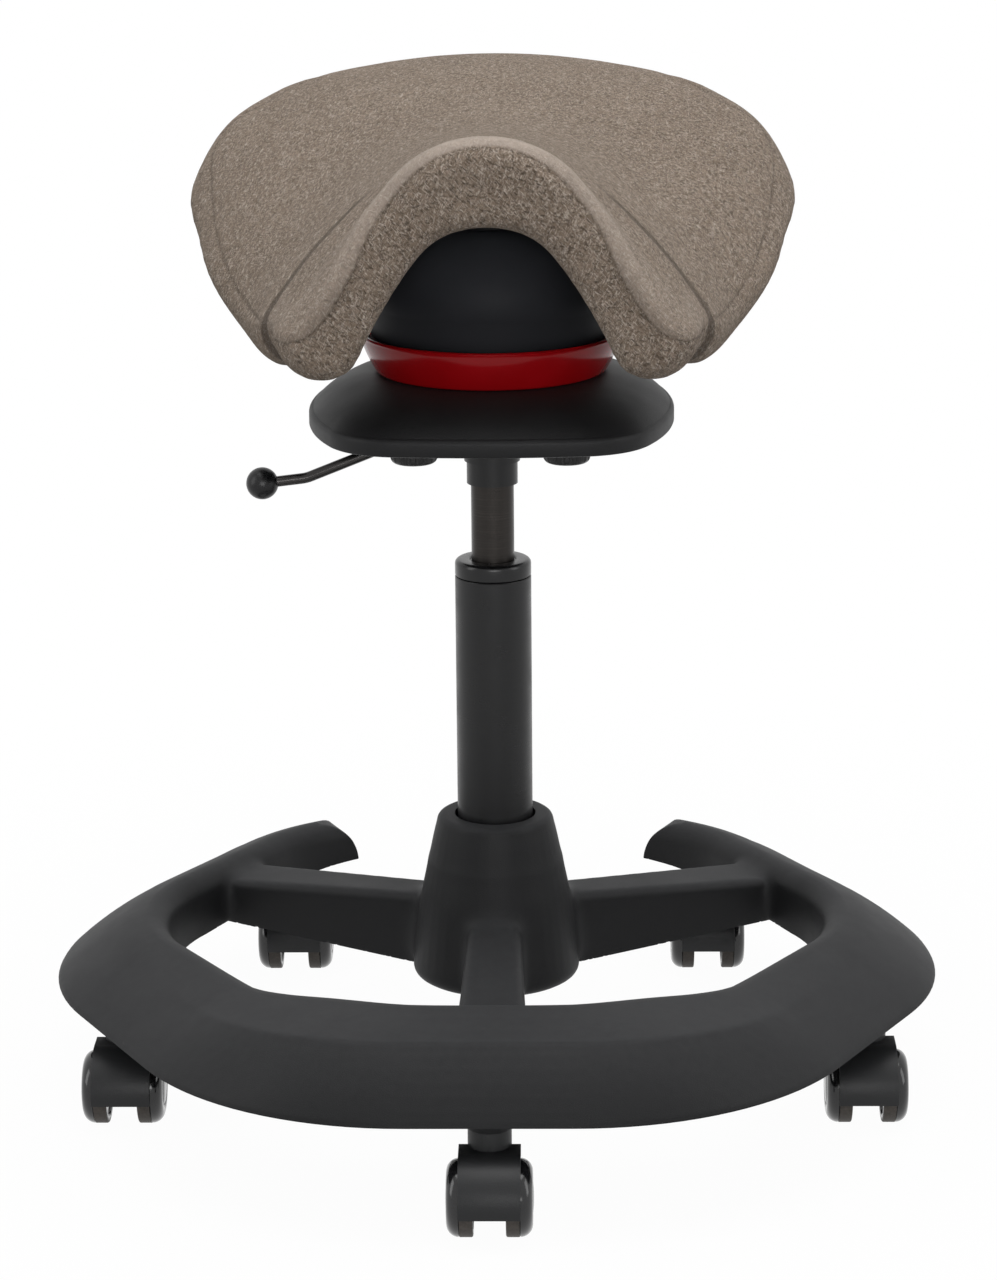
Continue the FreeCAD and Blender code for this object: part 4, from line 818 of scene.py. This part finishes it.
def plumped(mesh, pressure, reach):
    """Mesh swelled by cloth with air pressure inside. Each point keeps its move along its normal, between a
    small draw-in and its own reach, evened with its neighbours'."""
    obj = bpy.data.objects.new("bench", mesh)
    bpy.context.scene.collection.objects.link(obj)
    cloth = obj.modifiers.new("plump", "CLOTH")
    cloth.settings.quality = 5
    cloth.settings.mass = 0.4
    cloth.settings.use_pressure = True
    cloth.settings.uniform_pressure_force = pressure
    cloth.settings.tension_stiffness = 14
    cloth.settings.compression_stiffness = 14
    cloth.settings.bending_stiffness = 4
    cloth.settings.effector_weights.gravity = 0
    cloth.collision_settings.use_collision = False
    cloth.point_cache.frame_start = 1
    cloth.point_cache.frame_end = 20
    for step in range(1, 21):
        bpy.context.scene.frame_set(step)
    swelled = bpy.data.meshes.new_from_object(obj.evaluated_get(bpy.context.evaluated_depsgraph_get()))
    start, normals = vertex_places(mesh), vertex_normals(mesh)
    move = vertex_places(swelled) - start
    out = (move * normals).sum(1)
    out = evened(mesh, np.clip(out, -0.0005, reach)[:, None], (0.5,) * 60)
    set_places(mesh, start + out * normals)
    bpy.data.objects.remove(obj)
    bpy.context.scene.frame_set(1)
    return mesh


def stitches(name, line, normals, pitch, length, radius):
    """Row of stitches: round-ended rods laid along a line at even steps, each sunk by half its thickness."""
    run = np.concatenate([[0], np.cumsum(np.linalg.norm(np.diff(line, axis=0), axis=1))])
    middles = np.arange(pitch / 2, run[-1], pitch)
    at = np.stack([np.interp(middles, run, line[:, k]) for k in range(3)], 1)
    ahead = np.stack([np.interp(middles + pitch / 3, run, line[:, k]) for k in range(3)], 1)
    behind = np.stack([np.interp(middles - pitch / 3, run, line[:, k]) for k in range(3)], 1)
    up = np.stack([np.interp(middles, run, normals[:, k]) for k in range(3)], 1)
    way = (ahead - behind) / np.linalg.norm(ahead - behind, axis=1)[:, None]
    up = up / np.linalg.norm(up, axis=1)[:, None]
    side = np.cross(way, up)
    reach = np.array((-1, -0.86, -0.5, 0, 0.5, 0.86, 1)) * length / 2
    girth = np.array((0.02, 0.6, 0.95, 1, 0.95, 0.6, 0.02)) * radius
    turn = np.linspace(0, 2 * np.pi, 8, endpoint=False)
    at, way, side, up = (rows[:, None, None] for rows in (at, way, side, up))
    reach, girth = reach[None, :, None, None], girth[None, :, None, None]
    across = side * np.cos(turn)[None, None, :, None] + up * np.sin(turn)[None, None, :, None]
    rings = at + way * reach + across * girth - up * reach**2 * radius / (length / 2) ** 2
    count, rows, columns = rings.shape[:3]
    n, i, j = np.meshgrid(np.arange(count), np.arange(rows - 1), np.arange(columns), indexing="ij")
    corner = (n * rows + i) * columns
    right = (j + 1) % columns
    below = corner + columns
    quads = np.stack([corner + j, corner + right, below + right, below + j], -1).reshape(-1, 4)
    first = np.arange(count)[:, None] * rows * columns + np.arange(columns)[None]
    caps = first[:, ::-1].tolist() + (first + (rows - 1) * columns).tolist()
    mesh = bpy.data.meshes.new(name)
    mesh.from_pydata(rings.reshape(-1, 3).tolist(), [], quads.tolist() + caps)
    whole = bmesh.new()
    whole.from_mesh(mesh)
    bmesh.ops.recalc_face_normals(whole, faces=whole.faces)
    whole.to_mesh(mesh)
    whole.free()
    piece(name, mesh, "seat", "seat_thread", "seat_fabric", sharp=0)


def refined(mesh, near):
    """Mesh whose edges between near points are cut in two."""
    whole = bmesh.new()
    whole.from_mesh(mesh)
    whole.verts.ensure_lookup_table()
    edges = [edge for edge in whole.edges if all(near[v.index] for v in edge.verts)]
    bmesh.ops.subdivide_edges(whole, edges=edges, cuts=1, use_grid_fill=True)
    whole.to_mesh(mesh)
    whole.free()
    return mesh


def on_surface(mesh, line):
    """Nearest points of a mesh to a line's, and the mesh's normals there."""
    corners = [tuple(v.co) for v in mesh.vertices]
    tree = BVHTree.FromPolygons(corners, [tuple(p.vertices) for p in mesh.polygons])
    found = [tree.find_nearest(Vector(p)) for p in line]
    return np.array([hit[0] for hit in found]), np.array([hit[1] for hit in found])


PAD_VOXEL = 0.0036
PAD_PRESSURE = 4.0
SLIT_Y = -0.102         # the middle of the slits behind the nose's flaps
STITCH = {"pitch": 0.0044, "length": 0.0031, "radius": 0.0003}
STITCH_SUNK = 0.0002
RIDGE_BEHIND = 0.0055   # from the nose's seam to the raised edge's crown
RIDGE = (               # distances from the middle, and the raised edge's heights there
    (0, 0.03, 0.05, 0.075, 0.095, 0.108, 0.125),
    (0.0026, 0.0038, 0.0055, 0.0056, 0.0042, 0.0026, 0.0008),
)


def filled_out(mesh):
    """Pad filled out at its lobes, drawn in at the wings' corners and hung lower at mid-nose, then plumped."""
    places, normals = vertex_places(mesh), vertex_normals(mesh)
    x, y, z = np.abs(places[:, 0]), places[:, 1], places[:, 2]
    outside = np.maximum(ramp(y, -0.09, -0.105), ramp(x, 0.115, 0.13))
    fuller = outside * np.interp(z, (0.51, 0.545, 0.6), (0.0026, 0.0018, 0.0))
    fuller += 0.0004 * bell(x, 0.108, 0.018) * bell(z, 0.656, 0.01) * ramp(y, 0.09, 0.11)
    drawn_in = 0.003 * bell(x, 0.15, 0.024) * bell(z, 0.64, 0.02)
    places += normals * (fuller - drawn_in)[:, None]
    places[:, 2] -= 0.0025 * bell(x, 0, 0.03) * ramp(y, -0.11, -0.13) * ramp(z, 0.625, 0.605)
    set_places(mesh, places)
    mesh = plumped(mesh, PAD_PRESSURE, np.interp(z, (0.55, 0.63), (0.0024, 0.0009)))
    mesh = relaxed(mesh, 3)
    return mesh


def slit_starts_closed(mesh):
    """Pad whose slits close softly at their inner ends."""
    places = vertex_places(mesh)
    x, y = np.abs(places[:, 0]), places[:, 1]
    closed = ramp(x, 0.082, 0.068) * ramp(x, 0.045, 0.055) * ramp(np.abs(y - SLIT_Y), 0.018, 0.01)
    closed = (closed * (vertex_normals(mesh)[:, 2] > 0))[:, None]
    set_places(mesh, places + closed * (evened(mesh, places, (0.5,) * 30) - places))
    return mesh


def make_saddle():
    """Saddle pad: the CAD solid remeshed, filled out, plumped by cloth, ridged and stitched at its seams."""
    mesh = modified(cad_copy("saddle_pad"), ("REMESH", {"mode": "VOXEL", "voxel_size": PAD_VOXEL}))
    mesh = slit_starts_closed(filled_out(relaxed(mesh, 4)))
    mesh = modified(mesh, ("SUBSURF", {"levels": 1, "render_levels": 1}))

    wing, wing_up = on_surface(mesh, smooth_line(both_sides(WING_SEAM), 900))
    nose, nose_up = on_surface(mesh, smooth_line(both_sides(NOSE_SEAM), 520))
    places = vertex_places(mesh)
    from_wing, from_nose = seam_offset(places, wing, wing_up)[0], seam_offset(places, nose, nose_up)[0]
    mesh = refined(mesh, (from_wing < 0.005) | (from_nose < 0.014))
    places, normals = vertex_places(mesh), vertex_normals(mesh)
    from_wing, _ = seam_offset(places, wing, wing_up)
    from_nose, behind = seam_offset(places, nose, nose_up)
    x, y = np.abs(places[:, 0]), places[:, 1]
    by_nose = ramp(from_nose, 0.03, 0.022)
    ridge = np.interp(x, *RIDGE)
    shape = bell(behind, RIDGE_BEHIND, np.where(behind > RIDGE_BEHIND, 0.011, 0.0046))
    raised = by_nose * (ridge * shape - 0.0005 * bell(from_nose, 0, 0.0011))
    raised -= 0.0005 * bell(from_wing, 0, 0.0016)
    set_places(mesh, places + normals * raised[:, None])

    fold = np.interp(x, (0, 0.03, 0.066), (-0.139, -0.13, -0.103))
    strip = ramp(fold - y, 0, 0.006) * by_nose * (behind > 0)
    by_front = ramp(normals[:, 1], -0.3, -0.6) * (y < -0.1)
    # Painted highlight band along the ridge behind the nose's seam, fading down the flaps, and a little paler
    # over the flaps' strips.
    band = ramp(behind, 0.0002, 0.0012) * ramp(behind, 0.0125, 0.0095) * by_nose
    taut_and_highlight = np.maximum(band * np.interp(x, (0.02, 0.06, 0.12), (1.0, 0.7, 0.2)), 0.2 * strip)
    # Below nought on the nose's front faces, which raises the fibres' colour contrast there as painted grazing
    # light.
    taut_and_highlight -= 0.8 * by_front * (behind < 0)
    # Painted shade deep in the slits.
    slit_shade = ramp(x, 0.066, 0.08) * ramp(np.abs(y - SLIT_Y), 0.004, 0.0025)
    nose_sewn = np.interp(x, (0.03, 0.07), (0.2, 0.6)) * bell(from_nose, 0, 0.0009)
    mark(mesh, "seam_and_slit_shade", np.maximum(0.5 * bell(from_wing, 0, 0.0014), np.maximum(nose_sewn, slit_shade)))
    mark(mesh, "taut_and_highlight", taut_and_highlight)
    cover = piece("saddle_cover", mesh, "seat", "seat_fabric", "seat_fabric", "saddle_pad", sharp=0)
    for name, line in (("wing_stitches", wing), ("nose_stitches", nose)):
        laid, up = on_surface(mesh, line)
        stitches(name, laid - up * STITCH_SUNK, up, **STITCH)


# Studio

def seen_rays(tree):
    """One for a ray from the camera, straight, mirrored or through glass, and nought for others."""
    rays = place(tree, "ShaderNodeLightPath").outputs
    direct = sums(tree, "MAXIMUM", rays["Is Camera Ray"], rays["Is Glossy Ray"])
    return sums(tree, "MAXIMUM", direct, rays["Is Transmission Ray"])


def make_stage():
    """White floor with a soft shadow, a white room, broad lamps, and the camera at the photo's angle."""
    scene = bpy.context.scene
    floor_mesh = bpy.data.meshes.new("studio_floor")
    reach = 16.0
    corners = [(-reach, -reach, 0), (reach, -reach, 0), (reach, reach, 0), (-reach, reach, 0)]
    floor_mesh.from_pydata(corners, [], [(0, 1, 2, 3)])
    floor = bpy.data.objects.new("studio_floor", floor_mesh)
    scene.collection.objects.link(floor)
    material, tree, shader = plain_material("studio_floor_white", Roughness=0.9, Specular_IOR_Level=0.1)
    bounced = place(tree, "ShaderNodeLightPath").outputs["Is Diffuse Ray"]
    colour = tint(tree, bounced, (0.96, 0.96, 0.96, 1), (0.3, 0.3, 0.3, 1))
    tree.links.new(colour, shader.inputs["Base Color"])
    seen = seen_rays(tree)
    glow = place(tree, "ShaderNodeEmission", {"Color": (1, 1, 1, 1), "Strength": 1.0})
    away = place(tree, "ShaderNodeVectorMath", {0: object_place(tree)}, operation="LENGTH").outputs["Value"]
    share = sums(tree, "MULTIPLY", seen, stretch(tree, away, 0.35, 0.9, 0.97, 1.0))
    mixed = place(tree, "ShaderNodeMixShader", {0: share, 1: shader.outputs[0], 2: glow.outputs[0]})
    tree.links.new(mixed.outputs[0], tree.nodes["Material Output"].inputs["Surface"])
    floor_mesh.materials.append(material)

    world = bpy.data.worlds.new("studio_room")
    scene.world = world
    world.use_nodes = True
    tree = world.node_tree
    strength = stretch(tree, seen_rays(tree), 0.0, 1.0, 0.3, 1.0)
    tree.links.new(strength, tree.nodes["Background"].inputs["Strength"])
    tree.nodes["Background"].inputs["Color"].default_value = (1, 1, 1, 1)

    def lamp(name, place_at, aim, size, power, spread=180):
        light = bpy.data.lights.new(name, "AREA")
        light.shape = "RECTANGLE"
        light.size, light.size_y = size
        light.energy = power
        light.spread = math.radians(spread)
        obj = bpy.data.objects.new(name, light)
        obj.location = place_at
        obj.rotation_euler = (Vector(aim) - Vector(place_at)).to_track_quat("-Z", "Y").to_euler()
        scene.collection.objects.link(obj)

    lamp("top_softbox", (0.1, -0.1, 2.3), (0, 0, 0.4), (1.8, 1.6), 25.0)
    lamp("left_softbox", (-1.8, -0.6, 1.1), (0, 0, 0.45), (0.7, 1.5), 8.0)
    lamp("right_softbox", (1.8, -0.6, 1.1), (0, 0, 0.45), (0.7, 1.5), 8.0)
    lamp("front_softbox", (0.2, -2.4, 0.85), (0, 0, 0.62), (1.4, 0.6), 1.7, 45)

    camera = bpy.data.cameras.new("photo_camera")
    camera.sensor_fit = "VERTICAL"
    camera.sensor_height = 36.0
    camera.lens = 36.0 * 3656 / 1280
    eye = bpy.data.objects.new("photo_camera", camera)
    turn = Matrix.Rotation(math.radians(1.06), 4, "Z") @ Matrix.Rotation(math.radians(90 - 15.57), 4, "X")
    turn = turn @ Matrix.Rotation(math.radians(-0.48), 4, "Z")
    eye.matrix_world = Matrix.Translation((0.0461, -2.321, 0.947)) @ turn
    scene.collection.objects.link(eye)
    scene.camera = eye
    scene.view_settings.view_transform = "Standard"


def dress_frame():
    """A finish for every CAD node that shows."""
    own = {
        "guide_bush": "collar_plastic", "plate_cover": "cover_plastic", "lever_rod": "lever_steel",
        "spacer_collar": "grip_plastic", "taper_socket": "grip_plastic",
    }
    for part in frame["record"]["subparts"]:
        node = NODES[part["node"]]
        node.data.materials.clear()
        node.data.materials.append(FINISHES[own.get(part["node"], part["material_slot"])])


dress_frame()
make_base()
make_hoods()
make_wheels()
make_cover()
make_balance_wheel()
make_dome()
make_column()
make_saddle()
make_stage()
